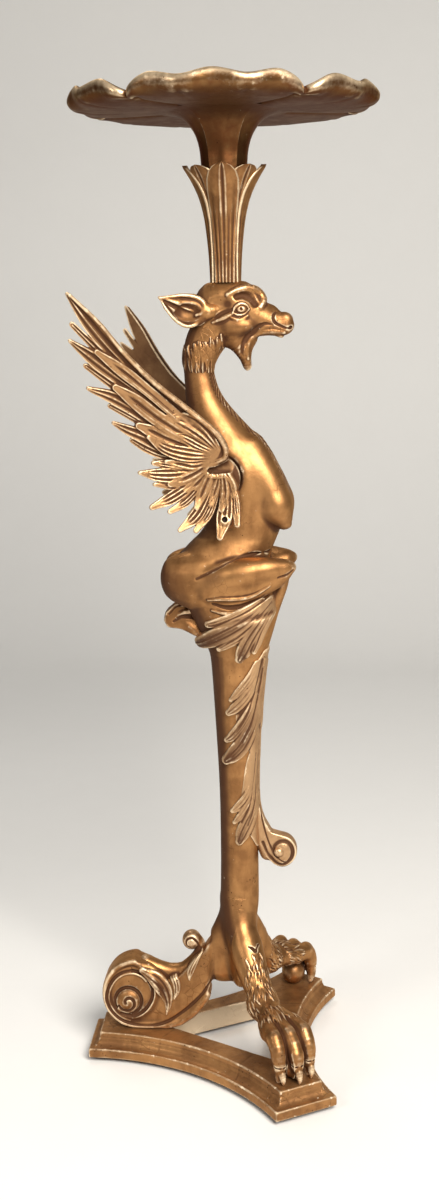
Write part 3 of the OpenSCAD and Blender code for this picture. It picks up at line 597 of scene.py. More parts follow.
def strip(rings, closed=True):
    """Quads over rows of points that all have the same count."""
    rings = np.array(rings, float)
    m, n = rings.shape[:2]
    points = rings.reshape(-1, 3)
    i = np.arange(m - 1)[:, None]
    j = np.arange(n if closed else n - 1)[None, :]
    k = (j + 1) % n
    quads = np.stack([i * n + j, i * n + k, (i + 1) * n + k, (i + 1) * n + j], -1).reshape(-1, 4)
    return points, quads


# Finishes


class Graph:
    """Lays out shader nodes in one tree."""

    def __init__(self, tree):
        self.tree = tree

    def plug(self, source, socket):
        """Links a socket to another, or sets it to a plain value."""
        if isinstance(source, bpy.types.NodeSocket):
            self.tree.links.new(source, socket)
        else:
            socket.default_value = source

    def put(self, kind, links=None, **values):
        node = self.tree.nodes.new(kind)
        for key, value in values.items():
            setattr(node, key, value)
        for key, source in (links or {}).items():
            self.plug(source, node.inputs[key])
        return node

    def use(self, name, links):
        """A node of one of the shared groups."""
        return self.put("ShaderNodeGroup", links, node_tree=shared(name)).outputs

    def math(self, operation, a, b, clamp):
        return self.put("ShaderNodeMath", {0: a, 1: b}, operation=operation, use_clamp=clamp).outputs[0]

    def add(self, a, b, clamp=False):
        return self.math("ADD", a, b, clamp)

    def take(self, a, b, clamp=False):
        return self.math("SUBTRACT", a, b, clamp)

    def times(self, a, b, clamp=False):
        return self.math("MULTIPLY", a, b, clamp)

    def ramp(self, value, a, b, low=0.0, high=1.0):
        links = {0: value, 1: a, 2: b, 3: low, 4: high}
        return self.put("ShaderNodeMapRange", links, interpolation_type="SMOOTHSTEP").outputs[0]

    def mix(self, share, a, b):
        return self.put("ShaderNodeMix", {0: share, 6: a, 7: b}, data_type="RGBA").outputs[2]

    def clouds(self, place, scale, detail=4.0, rough=0.55, twist=0.0):
        links = {"Vector": place, "Scale": scale, "Detail": detail, "Roughness": rough, "Distortion": twist}
        return self.put("ShaderNodeTexNoise", links).outputs[0]

    def cells(self, place, scale, feature):
        links = {"Vector": place, "Scale": scale, "Randomness": 1.0}
        return self.put("ShaderNodeTexVoronoi", links, feature=feature).outputs["Distance"]

    def stretched(self, place, tall):
        return self.put("ShaderNodeMapping", {"Vector": place, "Scale": (1.0, 1.0, tall)}).outputs[0]

    def mark(self, name):
        """A number kept for each point of the mesh."""
        return self.put("ShaderNodeAttribute", attribute_name=name).outputs["Fac"]

    def bump(self, height, strength, distance):
        links = {"Height": height, "Strength": strength, "Distance": distance}
        return self.put("ShaderNodeBump", links).outputs[0]


def patina(g, given, made):
    """Cloudy change of tone in old leaf: broad clouds, drips, and small blotches."""
    c = given["Coordinates"]
    broad = g.clouds(c, 14.0, 3.0)
    small = g.clouds(c, 75.0, 4.0, 0.6, 0.4)
    drip = g.clouds(g.stretched(c, 0.22), 90.0, 3.0, 0.6)
    tone = g.add(g.times(broad, 0.5), g.add(g.times(small, 0.3), g.times(drip, 0.2)))
    mask = g.times(g.ramp(tone, 0.38, 0.62), given["Amount"], True)
    g.plug(g.mix(mask, given["Leaf"], given["Shade"]), made["Colour"])
    g.plug(mask, made["Mask"])


def wear(g, given, made):
    """Pale ridges, partly worn leaf and partly painted highlight; brown hollows, partly grime and partly
    painted shade; and chips through to the gesso.
    """
    c, ridge, dirty = given["Coordinates"], given["Ridge"], given["Dirty"]
    breakup = g.clouds(c, 160.0, 4.0, 0.65)
    wide = g.clouds(c, 30.0, 3.0)
    uneven = g.take(wide, 0.5)
    # Pale ridges: worn leaf and painted highlight
    edge = g.add(g.times(ridge, given["Rubbed"]), g.times(g.take(breakup, 0.5), 0.45))
    edge = g.add(edge, g.times(uneven, 0.5))
    rubbed = g.times(g.ramp(edge, 0.25, 0.85, 0.0, 0.8), g.ramp(ridge, 0.02, 0.25))
    # Brown where the mask is high: grime in the hollows, and painted shade in hollows, on undersides and on
    # sides turned back
    dirt = g.add(given["Hollow"], g.times(uneven, 0.35))
    dirt = g.times(g.ramp(dirt, 0.08, 0.66, 0.0, 0.95), dirty, True)
    speck = g.ramp(g.cells(c, 210.0, "F1"), 0.20, 0.12)
    speck = g.times(speck, g.ramp(g.clouds(c, 26.0, 2.0), 0.56, 0.66))
    chips = g.add(breakup, g.times(ridge, 0.16))
    chips = g.times(g.ramp(chips, 0.70, 0.74), given["Chipped"], True)
    tone = g.mix(dirt, given["Colour"], given["Dirt"])
    tone = g.mix(rubbed, tone, given["Rub"])
    tone = g.mix(g.times(speck, dirty, True), tone, given["Dirt"])
    g.plug(g.mix(chips, tone, given["Gesso"]), made["Colour"])
    g.plug(rubbed, made["Rubbed"])
    g.plug(dirt, made["Dirt"])
    g.plug(chips, made["Chips"])


def surface(g, given, made):
    """Small unevenness of hand carving under leaf: tool marks, crackle and dust."""
    c = given["Coordinates"]
    lines = g.ramp(g.cells(c, 95.0, "DISTANCE_TO_EDGE"), 0.035, 0.0)
    lines = g.times(lines, g.ramp(g.clouds(c, 18.0, 2.0), 0.54, 0.66))
    height = g.add(g.times(g.clouds(c, 120.0, 2.0, 0.5), 0.7), g.times(g.clouds(c, 900.0, 3.0, 0.6), 0.12))
    g.plug(g.take(height, g.times(lines, given["Crackle"])), made["Height"])
    g.plug(lines, made["Lines"])


def grain(g, given, made):
    """Straight wood grain with pores."""
    tall = g.stretched(given["Coordinates"], 0.08)
    bands = g.clouds(tall, 130.0, 4.0, 0.6, 0.6)
    tone = g.add(g.times(bands, 0.75), g.times(g.clouds(tall, 700.0, 2.0, 0.5), 0.25))
    g.plug(g.mix(g.ramp(tone, 0.35, 0.65), given["Light"], given["Dark"]), made["Colour"])
    g.plug(tone, made["Height"])


# What each shared group is built by, takes (a kind of socket, or a number) and gives
GROUPS = {
    "Patina": (
        patina,
        dict(Coordinates="Vector", Leaf="Color", Shade="Color", Amount=0.6),
        dict(Colour="Color", Mask="Float"),
    ),
    "Wear": (
        wear,
        dict(Coordinates="Vector", Colour="Color", Rub="Color", Dirt="Color", Gesso="Color",
            Ridge=0.0, Hollow=0.0, Rubbed=1.0, Dirty=1.0, Chipped=0.5),
        dict(Colour="Color", Rubbed="Float", Dirt="Float", Chips="Float"),
    ),
    "Hand carved surface": (
        surface,
        dict(Coordinates="Vector", Crackle=0.5),
        dict(Height="Float", Lines="Float"),
    ),
    "Wood grain": (
        grain,
        dict(Coordinates="Vector", Light="Color", Dark="Color"),
        dict(Colour="Color", Height="Float"),
    ),
}  # fmt: skip


def shared(name):
    """The shared group of that name, built once, when it is first used."""
    made = bpy.data.node_groups.get(name)
    if made:
        return made
    build, takes, gives = GROUPS[name]
    made = bpy.data.node_groups.new(name, "ShaderNodeTree")
    for title, what in takes.items():
        kind = what if isinstance(what, str) else "Float"
        socket = made.interface.new_socket(name=title, in_out="INPUT", socket_type="NodeSocket" + kind)
        if kind == "Float":
            socket.default_value = what
    for title, kind in gives.items():
        made.interface.new_socket(name=title, in_out="OUTPUT", socket_type="NodeSocket" + kind)
    build(Graph(made), made.nodes.new("NodeGroupInput").outputs, made.nodes.new("NodeGroupOutput").inputs)
    return made


def start_material(name):
    made = bpy.data.materials.new(name)
    made.use_nodes = True
    made.node_tree.nodes.clear()
    g = Graph(made.node_tree)
    out = g.put("ShaderNodeOutputMaterial")
    shader = g.put("ShaderNodeBsdfPrincipled")
    g.plug(shader.outputs[0], out.inputs["Surface"])
    return made, g, shader, g.put("ShaderNodeTexCoord").outputs["Object"]


# The plain gilding, then the material slot of each kind and how it differs
PLAIN = dict(
    tone=1.0, pale=0.0, rubbed=0.9, chipped=0.4, patina=0.6, metal=0.82, smooth=0.36,
    bump=0.35, bare=False, glance=(0.80, 0.62, 0.45),
)  # fmt: skip
GILT = {
    "beast": ("gilt_beast", dict(tone=1.05, rubbed=0.8, patina=0.62, metal=0.84, smooth=0.40)),
    # Painted highlight: the wings and leaves get a share of pale gold, a lighter copy of the leaf that stands
    # for light falling on them
    "wings": ("gilt_wings", dict(pale=0.09, chipped=0.3, patina=0.35, metal=0.76, smooth=0.38)),
    "leaves": ("gilt_leaves", dict(pale=0.2, rubbed=0.85, chipped=0.35, patina=0.35, metal=0.68,
        smooth=0.38)),
    "capital": ("gilt_leaves", dict(tone=0.95, rubbed=1.0, chipped=0.3, patina=0.7, metal=0.78)),
    "shaft": ("gilt_leaves", dict(tone=1.1)),
    "legs": ("gilt_legs", dict(tone=1.1)),
    # Painted shade: the dish and its neck get a much darker leaf (tone 0.45), to stand for the shade under the
    # dish
    "dish": ("gilt_dish", dict(tone=0.45, rubbed=1.3, chipped=0.35, patina=0.95, metal=0.86, smooth=0.32,
        glance=(0.40, 0.29, 0.16))),
    "plinth": ("gilt_plinth", dict(tone=1.1, rubbed=0.7, chipped=0.9, metal=0.66, smooth=0.37, bump=0.6,
        bare=True)),
}  # fmt: skip


def gilt(kind):
    """Old water gilding: leaf with a cloudy brown glaze, pale ridges that are partly worn leaf and partly
    painted highlight, brown hollows that are partly grime and partly painted shade, and small losses.
    """
    have = bpy.data.materials.get("Gilt " + kind)
    if have:
        return have
    how = {**PLAIN, **GILT[kind][1]}
    f = finish()
    leaf = [a * how["tone"] + (b - a) * how["pale"] for a, b in zip(f.gold[:3], f.pale_gold[:3])]
    made, g, shader, coord = start_material("Gilt " + kind)
    links = dict(Coordinates=coord, Leaf=(*leaf, 1.0), Shade=tuple(f.glaze_brown), Amount=how["patina"])
    tone = g.use("Patina", links)
    links = dict(Coordinates=coord, Colour=tone["Colour"], Rub=tuple(f.pale_gold), Dirt=tuple(f.hollow_brown))
    links.update(Gesso=tuple(f.gesso), Ridge=g.mark("edge"), Hollow=g.mark("hollow"))
    links.update(Rubbed=how["rubbed"], Dirty=1.0, Chipped=how["chipped"])
    worn = g.use("Wear", links)
    skin = g.use("Hand carved surface", {"Coordinates": coord, "Crackle": 0.6})
    tint = g.mix(g.times(skin["Lines"], 0.5), worn["Colour"], tuple(f.hollow_brown))
    if how["bare"]:
        tint = g.mix(g.times(g.mark("bare"), 0.9), tint, tuple(f.gesso))
    g.plug(tint, shader.inputs["Base Color"])
    rough = g.add(how["smooth"], g.times(tone["Mask"], 0.10))
    rough = g.add(rough, g.times(worn["Dirt"], 0.28))
    rough = g.add(rough, g.times(worn["Chips"], 0.3), True)
    g.plug(rough, shader.inputs["Roughness"])
    dull = g.add(g.times(worn["Dirt"], 0.75), g.times(worn["Chips"], 1.0), True)
    dull = g.add(dull, g.times(worn["Rubbed"], 0.25), True)
    g.plug(g.times(g.take(1.0, dull, True), how["metal"]), shader.inputs["Metallic"])
    shader.inputs["Specular Tint"].default_value = (*how["glance"], 1.0)
    g.plug(g.bump(skin["Height"], how["bump"], 0.0012), shader.inputs["Normal"])
    return made


def wood(name, light, share=0.6, rough=0.62):
    """Bare or waxed wood with grain."""
    made, g, shader, coord = start_material(name)
    dark = tuple(c * share for c in light[:3]) + (1.0,)
    run = g.use("Wood grain", {"Coordinates": coord, "Light": tuple(light), "Dark": dark})
    skin = g.use("Hand carved surface", {"Coordinates": coord, "Crackle": 0.2})
    g.plug(run["Colour"], shader.inputs["Base Color"])
    g.plug(g.add(g.times(run["Height"], 0.2), rough - 0.1), shader.inputs["Roughness"])
    height = g.add(run["Height"], g.times(skin["Height"], 0.5))
    g.plug(g.bump(height, 0.4, 0.0006), shader.inputs["Normal"])
    return made


def screw_steel():
    made, g, shader, coord = start_material("Screw steel")
    skin = g.use("Hand carved surface", {"Coordinates": coord, "Crackle": 0.0})
    links = {"Coordinates": coord, "Leaf": tuple(finish().steel), "Shade": (0.16, 0.11, 0.08, 1.0),
        "Amount": 0.5}
    tone = g.use("Patina", links)
    g.plug(tone["Colour"], shader.inputs["Base Color"])
    g.plug(g.add(g.times(tone["Mask"], 0.25), 0.32), shader.inputs["Roughness"])
    shader.inputs["Metallic"].default_value = 0.9
    g.plug(g.bump(skin["Height"], 0.3, 0.0003), shader.inputs["Normal"])
    return made


def set_finish(obj, material):
    if not obj.data.materials:
        obj.data.materials.append(material)
    for s in obj.material_slots:
        s.material = material


def place(name, mesh, node, kind):
    """Puts a mesh in the place of its CAD node, with its gilding."""
    obj = bpy.data.objects.new(name, mesh)
    bpy.context.scene.collection.objects.link(obj)
    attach(obj, "root")
    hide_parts(node)
    set_finish(obj, gilt(kind))


def carved_piece(whole, node, kind, cuts=(), turn=0.0):
    """Cuts one piece out of the carved whole, keeps the shading over the seam, and puts it in its place."""
    mesh = seal(sawn(whole, "carved_" + node, cuts))
    if turn:
        mesh.transform(Matrix.Rotation(turn, 4, "Z"))
    place("carved_" + node, mesh, node, kind)


# Levels of the frame, in millimetres


def level(node):
    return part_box(node)[0][2] * 1000


HUB_Z = level("leg_hub")
SHAFT_Z = level("shaft")
HAUNCH_Z = level("haunches")
TORSO_Z = level("torso")
HEAD_Z = level("head")
CAPITAL_Z = level("leaf_capital")
NECK_Z = level("dish_neck") + 11.5  # above the tenon in the capital
NECK_TOP = level("dish")


def over(z):
    """A level cut whose upper side is removed, as (point, normal)."""
    return (0, 0, z), (0, 0, 1)


def below(z):
    """A level cut whose lower side is removed."""
    return (0, 0, z), (0, 0, -1)


class StandOperator(Operator):
    bl_options = {"REGISTER", "UNDO"}

    def execute(self, context):
        self.make(context)
        return {"FINISHED"}


PETAL = 72  # degrees from petal to petal of the dish
PETAL_START = 126


def across_petal(a):
    """Where an angle lies across its petal, from -1 to 1."""
    return ((np.degrees(a) + PETAL_START) % PETAL) / (PETAL / 2) - 1


class STAND_OT_dish(StandOperator):
    """Makes the five petalled dish"""

    bl_idname = "stand.dish"
    bl_label = "Dish"

    reach = 195.5
    high = 36.0
    notch = 20.0
    thick = 9.0
    inner = 48.0
    well = 15.0
    well_r = 133.4

    def make(self, context):
        rng = np.random.default_rng(5)
        n = 900
        a = np.linspace(0, 2 * math.pi, n, endpoint=False)
        u = across_petal(a)
        v = np.abs(u)
        scallop = (1 + np.cos(np.radians(540 * u))) / 2
        dents = sum(rng.uniform(-1, 1) * np.cos(k * a + rng.uniform(0, 6.28)) for k in (3, 7, 11, 17, 23)) / 5
        uneven = sizes().rim_dents * 1000 * dents
        r = self.reach - self.notch * v**9 - 5.0 * scallop - np.abs(uneven) * 0.8
        rim = self.high * (1 - 0.35 * v**5 - 0.20 * (1 - scallop)) - np.abs(uneven) * 0.7
        crease = 4.5 * v**14 + 1.0 * v**4
        minor = bell(v, 1 / 3, 0.05)
        r0, well = 0 * r, self.well
        deep = rim - well
        rows = [
            (self.inner - 20 + r0, 6.5 + r0), (self.inner + 14 + r0, 6.6 + 0.1 * crease),
            (0.42 * r, 6.4 + 0.6 * crease), (0.5 * r, 6 + crease), (0.62 * r, 5.6 + crease),
            (0.74 * r, 5.4 + crease + 0.5 * minor), (0.83 * r, 5.8 + crease + 0.8 * minor),
            (0.90 * r, 7.4 + crease + 1.1 * minor), (0.945 * r, 0.30 * rim + 0.6 * crease + 1.2 * minor),
            (0.975 * r, 0.41 * rim + 0.3 * crease + minor), (0.994 * r, 0.56 * rim + 0.5 * minor),
            (r, 0.74 * rim),
            (0.997 * r, 0.88 * rim), (0.988 * r, 0.97 * rim), (0.977 * r, rim), (0.965 * r, 0.985 * rim),
            (r - self.thick, well + 0.91 * deep), (r - self.thick - 3, well + 0.78 * deep),
            (0.915 * r, well + 0.56 * deep), (0.87 * r, well + 0.3 * deep), (0.80 * r, well + 0.1 * deep),
            (self.well_r + r0, well + r0), (90 + r0, well + r0), (40 + r0, well + r0), (3 + r0, well + r0),
        ]  # fmt: skip
        profile = np.array([[q[0], q[1]] for q in rows])
        count = 110
        smooth = spline(profile.reshape(len(rows), -1), count).reshape(count, 2, n)
        mesh = raw_mesh("carved_dish", *strip(ring(smooth[:, 0], a, NECK_TOP + smooth[:, 1])))
        row = np.repeat(np.linspace(0, len(rows) - 1, count), n)
        # Painted highlight: a pale band along the rolled rim of the petals
        age(mesh, rim=0.38 * bell(row, 12.6, 1.9))
        place("carved_dish", mesh, "dish", "dish")


class STAND_OT_neck(StandOperator):
    """Makes the flared neck under the dish"""

    bl_idname = "stand.dish_neck"
    bl_label = "Dish neck"

    def make(self, context):
        a = np.linspace(0, 2 * math.pi, 260, endpoint=False)
        u = np.abs(across_petal(a))
        foot, high = NECK_Z, NECK_TOP
        stations = [
            (foot - 6, 25, 0), (foot + 6, 28, 0.4), (foot + 22, 29.4, 0.8), (foot + 36, 30.6, 1.0),
            (foot + 48, 33, 1.2), (foot + 59, 37, 1.4), (foot + 68, 42.5, 1.4), (high - 4, 48.5, 1.3),
            (high + 1.5, 56, 1.0), (high + 5.0, 65, 0.6), (high + 6.8, 74, 0.2), (high + 7.6, 82, 0.0),
        ]  # fmt: skip
        rings = []
        for z, r, depth in spline(stations, 90):
            ridge = depth * (1.2 * u**6 - 0.4 + 0.05 * np.cos(np.radians(540) * u))
            rings.append(ring(r + ridge, a, z))
        mesh = raw_mesh("turned_neck", *strip(rings))
        age(mesh)
        place("turned_neck", mesh, "dish_neck", "dish")


class STAND_OT_capital(StandOperator):
    """Carves the leaf capital"""

    bl_idname = "stand.leaf_capital"
    bl_label = "Leaf capital"

    outline = ((958, 19), (975, 19.6), (992, 20.5), (1016, 22.7), (1040, 26), (1063, 31.8), (1080, 39),
        (1092, 45.5), (1100, 50.5), (1105, 53))

    def leaf(self, turn, heights, halves, inset, lean):
        """One leaf wrapped round the bell, as a closed skin with a ribbed face."""
        z = spline([(h,) for h in heights], 70)[:, 0]
        half = np.interp(z, heights, halves)
        profile = spline(self.outline, 160)
        base = np.interp(z, profile[:, 0], profile[:, 1]) - inset
        s = np.linspace(-1, 1, 41)
        rings = []
        for h, w, r in zip(z, half, base):
            up = (h - heights[0]) / (heights[-1] - heights[0])
            off = np.abs(s)
            face = 1.0 * bell(off, 0.9, 0.1) - 1.2 * bell(s, 0, 0.07) + 0.5 * bell(off, 0.16, 0.08)
            low = ease(0.85, 0.35, up)
            lines = 0.5 * bell(off, 0.52, 0.09) - 0.7 * bell(off, 0.36, 0.07) - 0.7 * bell(off, 0.7, 0.07)
            face = face + low * lines
            face = face * min(1.0, w / 12)
            rolled = ease(1.0, 0.93, off)
            outer = r + face - lean * up * off**2 * 5
            inner = outer - 1.0 - 2.6 * rolled
            at = np.radians(turn + w * s)
            rings.append(np.vstack([ring(outer, at, h), ring(inner, at, h)[::-1]]))
        return strip(rings)

    def make(self, context):
        a = np.linspace(0, 2 * math.pi, 160, endpoint=False)
        cup = [ring(r - 4.6, a, z) for z, r in spline([(z, r) for z, r in self.outline if z < 1090], 40)]
        cup += [ring(r, a, 1088) for r in (34, 27, 22)]
        parts = [strip(cup)]
        heights, halves = (958, 1040, 1075, 1090, 1098, 1101.5, 1103), (20, 24, 34, 31, 22, 12, 1.5)
        parts += [self.leaf(45 + 90 * k, heights, halves, 3.4, 0.3) for k in range(4)]
        heights = (958, 1030, 1052, 1070, 1084, 1094, 1100, 1103.5, 1105)
        halves = (39, 43, 43, 39, 32.5, 24, 15, 6, 0.8)
        parts += [self.leaf(90 * k, heights, halves, 0.0, 0.8) for k in range(4)]
        starts = np.cumsum([0] + [len(points) for points, _ in parts])
        quads = np.vstack([quads + start for (_, quads), start in zip(parts, starts)])
        mesh = raw_mesh("carved_capital", np.vstack([points for points, _ in parts]), quads)
        age(mesh)
        place("carved_capital", mesh, "leaf_capital", "capital")


def fill_bore(clay, node):
    """Fills the blind bore that a hidden dowel sits in."""
    lo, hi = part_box(node)
    r = (hi[0] - lo[0]) * 500 + 1.5
    x, y = (lo[0] + hi[0]) * 500, (lo[1] + hi[1]) * 500
    clay.limb([(x, y, lo[2] * 1000 - 1, r), (x, y, hi[2] * 1000 + 1, r)], k=0.5, count=3)


class STAND_OT_beast(StandOperator):
    """Carves the head, the body and the haunches"""

    bl_idname = "stand.beast"
    bl_label = "Beast"

    def make(self, context):
        self.carve_head()
        self.carve_body()

    def carve_head(self):
        clay = Clay((-62, 0, HEAD_Z - 6), (92, 44, CAPITAL_Z + 14), sizes().head_grain * 1000, half=True)
        clay.from_cad("head", "torso").bridge(*over(HEAD_Z))
        fill_bore(clay, "neck_dowel")
        clay.soften(1.6)
        # skull, snout, cheek and jaw
        clay.ball((6, 0, 925), (42, 28, 36), k=5)
        clay.limb([(26, 0, 916, 21), (46, 0, 912, 15.5), (60, 0, 908, 11.5), (70, 0, 905, 9)], k=6)
        clay.ball((10, 12, 902), (20, 15, 15), k=8)
        clay.limb([(10, 8, 889, 13), (18, 7, 876, 10), (23, 4, 863, 6.2), (25.5, 0, 852, 3.4)], k=5)
        clay.limb([(-12, 5, 893, 9), (0, 6, 887, 9.5), (9, 6, 883.5, 8.5)], k=4)
        clay.limb([(64, 0, 873, 14), (47, 0, 869, 16.5), (47.5, 0, 852, 15.5)], k=2, cut=True)
        clay.ball((54, 0, 920), (11, 8, 10), k=4)
        clay.ball((72, 4, 910), (11.5, 8, 10.5), k=1.5)
        clay.limb([(57, 7, 898, 5), (66, 5, 893, 4), (69, 3, 890.5, 2.6)], k=2.5)
        # brow over a deep socket, eye with its lids, fold behind it
        clay.ball((-6, clay.out(-6, 931) + 4, 931), (13, 8, 9), k=6, cut=True)
        clay.vein([(15, 940, 3.0), (23, 942, 5.0), (32, 938.5, 5.6), (37, 931, 4.0)], lift=0.5, k=3.5,
            cut=True)
        clay.vein([(4, 943, 1.8), (14, 948, 3.2), (25, 950.5, 4.6), (35, 949, 5.4), (43, 943, 5.2),
            (47, 935, 4.2), (44, 927, 2.4)], lift=1.2, k=4)
        clay.ball((19.5, clay.out(19.5, 925) - 3.4, 925), (8.2, 6.4, 5.8), k=0.8)
        clay.vein([(10, 920.5, 1.0), (13.5, 927.5, 1.9), (20, 931.3, 2.2), (26.5, 929.5, 1.9),
            (30, 924.5, 1.1)], lift=0.7, k=0.9)
        clay.vein([(10, 920.5, 0.9), (16, 917.8, 1.5), (23.5, 918.6, 1.5), (30, 924.5, 0.9)], lift=0.4, k=0.9)
        clay.ball((20.5, clay.out(20.5, 925) + 0.4, 925), (2.0, 1.8, 2.2), k=0.5, cut=True)
        clay.vein([(8, 914.5, 0.9), (18, 911.5, 1.8), (28, 916.5, 1.0)], lift=0.3, k=1.8)
        clay.vein([(8, 924, 1.0), (-2, 920.5, 2.4), (-12, 914.5, 0.9)], lift=0.5, k=2.5, cut=True)
        clay.vein([(9, 918.5, 1.0), (-2, 913.5, 2.8), (-15, 908.5, 0.9)], lift=0.2, k=2.5)
        clay.ball((17, clay.out(17, 905) - 4.5, 904.5), (17, 7.5, 9), k=5)
        # nose, lips and the skin between the jaws
        clay.vein([(64, 922, 0.8), (59.5, 916, 1.7), (61, 908, 1.9), (70, 902, 1.7), (79, 899, 1.2)],
            lift=0.5, k=1.2, cut=True)
        clay.ball((79.5, 7, 901), (4.4, 3.2, 2.6), k=1.0, cut=True)
        clay.vein([(72, 895, 2.0), (57, 896.5, 3.2), (43, 895.5, 3.5), (32, 888.5, 3.0), (27, 877, 2.4),
            (27, 863, 1.4)], lift=-0.4, k=2.5)
        clay.vein([(57, 905, 0.8), (48, 905.5, 1.7), (37, 899.5, 2.2), (27, 890.5, 2.2), (21, 879, 1.7),
            (20, 867, 0.9)], lift=0.7, k=3, cut=True)
        self.hair(clay)
        # Painted shade on the sides turned back (back amount)
        carved_piece(carved_mesh(clay, "head_whole", back=0.7), "head", "beast", [below(HEAD_Z)])

    def hair(self, clay):
        """Locks of hair under the ear and down the neck."""

        def where(p):
            x, y, z = p.T
            ragged = 3 * np.sin(0.9 * x) + 2 * np.sin(0.74 * y)
            return (x > -58) & (x < -4) & (z > 866 + ragged) & (z < 897 + 0.35 * x + ragged)

        def along(p):
            return np.array([[0.10, 0.0, -1.0]], np.float32)

        clay.strands(where, along, 150, 19, sizes().hair_width * 1350, 21, lift=0.3, k=0.9, sway=0.1)

    def carve_body(self):
        step = sizes().body_grain * 1000
        clay = Clay((-92, 0, HAUNCH_Z - 8), (98, 78, HEAD_Z + 16), step, half=True)
        clay.from_cad("haunches", "torso", "shaft", "head")
        for z in (HAUNCH_Z, TORSO_Z, HEAD_Z):
            clay.bridge(*over(z))
        for node in ("waist_dowel", "haunch_dowel", "neck_dowel"):
            fill_bore(clay, node)
        clay.soften(2.2)
        # breasts, chest and belly
        clay.limb([(30, 14, 752, 16), (44, 19, 722, 19), (56, 21, 694, 20), (63, 21, 676, 16),
            (69, 21, 662, 10)], k=9, count=30)
        clay.ball((74, 21, 657.5), (4.6, 4.6, 3.6), k=1.5)
        clay.limb([(72, 0, 742, 3), (84, 0, 716, 5), (92, 0, 690, 6.5), (92, 0, 664, 7)], k=5, cut=True)
        clay.ball((30, 0, 690), (46, 38, 52), k=8)
        # thigh and knee
        clay.limb([(-46, 30, 587, 8), (-24, 38, 591, 16), (8, 45, 600, 19.5), (40, 46, 607, 15.5),
            (64, 41, 609.5, 10), (78, 37, 609, 6)], k=4.5, count=48)
        for y in (2, 12):
            clay.limb([(71, y, 599, 5.5), (65, y, 580, 7.0), (55, 0.9 * y, 556, 8), (46, 0.8 * y, 530, 7),
                (38, 0.7 * y, 506, 5)], k=5, count=24)
        clay.soften(1.3)
        clay.vein([(-38, 597, 0.8), (-22, 605, 1.2), (-4, 614, 1.4), (18, 622.5, 1.5), (42, 625.5, 1.4),
            (66, 622.5, 1.0)], lift=0.5, k=2.6, cut=True)
        clay.vein([(62, 598, 1.0), (73, 601, 1.4), (80, 606, 1.0)], lift=0.3, k=1, cut=True)
        # marks down the middle of the neck and chest
        line = spline([(-14, 850), (-13, 836), (-8, 821), (4, 803), (24, 780), (42, 760), (54, 741),
            (64, 722)], 46)
        for i, (x, z) in enumerate(line):
            if i % 2:
                continue
            dx, dz = line[min(i + 1, 45)] - line[max(i - 1, 0)]
            size = math.hypot(dx, dz)
            dx, dz = dx / size, dz / size
            places = []
            for y, back in ((4.0, 5.0), (11.0, 0.5), (18.0, -6.0)):
                q = np.array([[x - dx * back, y, z - dz * back]], np.float32)
                for _ in range(6):
                    q = q - clay.normals(q) * clay.at(q.copy())[:, None] * 0.9
                places.append((q[0, 0], abs(q[0, 1]), q[0, 2], 1.3))
            clay.limb(places, k=0.8, cut=True, count=6)
        # folds of skin where the thigh rests on the leaves
        clay.vein([(-24, 571, 1.2), (-8, 573, 2.6), (10, 573, 2.8), (26, 575, 2.6), (38, 580, 2.0),
            (52, 588, 0.8)], lift=0.8, k=1.2)
        clay.vein([(-18, 565, 1.6), (-3, 561, 2.6), (14, 562, 2.8), (30, 567, 2.4), (44, 575, 1.4)], lift=0.6,
            k=1.2, cut=True)
        clay.vein([(-20, 557, 1.0), (-4, 554, 2.2), (16, 556, 2.4), (32, 562, 1.8), (44, 570, 1.0)], lift=0.6,
            k=1.2)
        # Painted shade on the sides turned back (back amount)
        whole = carved_mesh(clay, "body_whole", back=0.7)
        carved_piece(whole, "torso", "beast", [below(TORSO_Z), over(HEAD_Z)])
        carved_piece(whole, "haunches", "beast", [below(HAUNCH_Z), over(TORSO_Z)])


# Feathers as stations of forward, up, half width from the tip to the shoulder, in the plane of the right wing
UNDER_VANES = (
    [(-168, 910, 3.4), (-139, 876, 5), (-106, 842, 4.6), (-71, 809, 4), (-36, 774, 4)],
    [(-157, 861, 3.2), (-129, 837, 5), (-101, 814, 5.5), (-72, 789, 5), (-42, 765, 4.4)],
    [(-133, 812, 3.1), (-111, 798, 4), (-89, 784, 4), (-66, 769, 4), (-43, 756, 4.4)],
    [(-110, 769, 3.1), (-96, 759, 4.6), (-81, 751, 4.6), (-65, 746, 4.8), (-49, 740, 4.9)],
)
LONG_FEATHERS = (
    [(-170, 945, 2.4), (-149, 911, 8.6), (-124, 876, 8.3), (-95, 844, 7.4), (-62, 813, 8), (-30, 781, 8)],
    [(-172, 891, 2.4), (-147, 869, 8.6), (-121, 846, 8.4), (-94, 823, 7.6), (-67, 798, 7), (-39, 774, 6)],
    [(-156, 834, 2.6), (-132, 824, 7.4), (-109, 810, 8.6), (-87, 794, 8.4), (-64, 778, 7), (-40, 763, 5)],
    [(-130, 791, 2.6), (-114, 782, 6.4), (-97, 774, 8.6), (-80, 764, 8.4), (-62, 757, 7.8), (-43, 751, 6.8)],
)
SECOND_FEATHERS = (
    [(-144, 879, 3.2), (-118, 857, 7.6), (-90, 832, 6.7), (-63, 806, 6.5), (-36, 779, 6.2)],
    [(-126, 836, 4.2), (-106, 820, 9), (-85, 801, 9.6), (-61, 783, 9.6), (-36, 768, 8)],
    [(-102, 788, 4.4), (-88, 781, 7.8), (-72, 772, 8), (-54, 764, 8), (-37, 756, 8)],
)
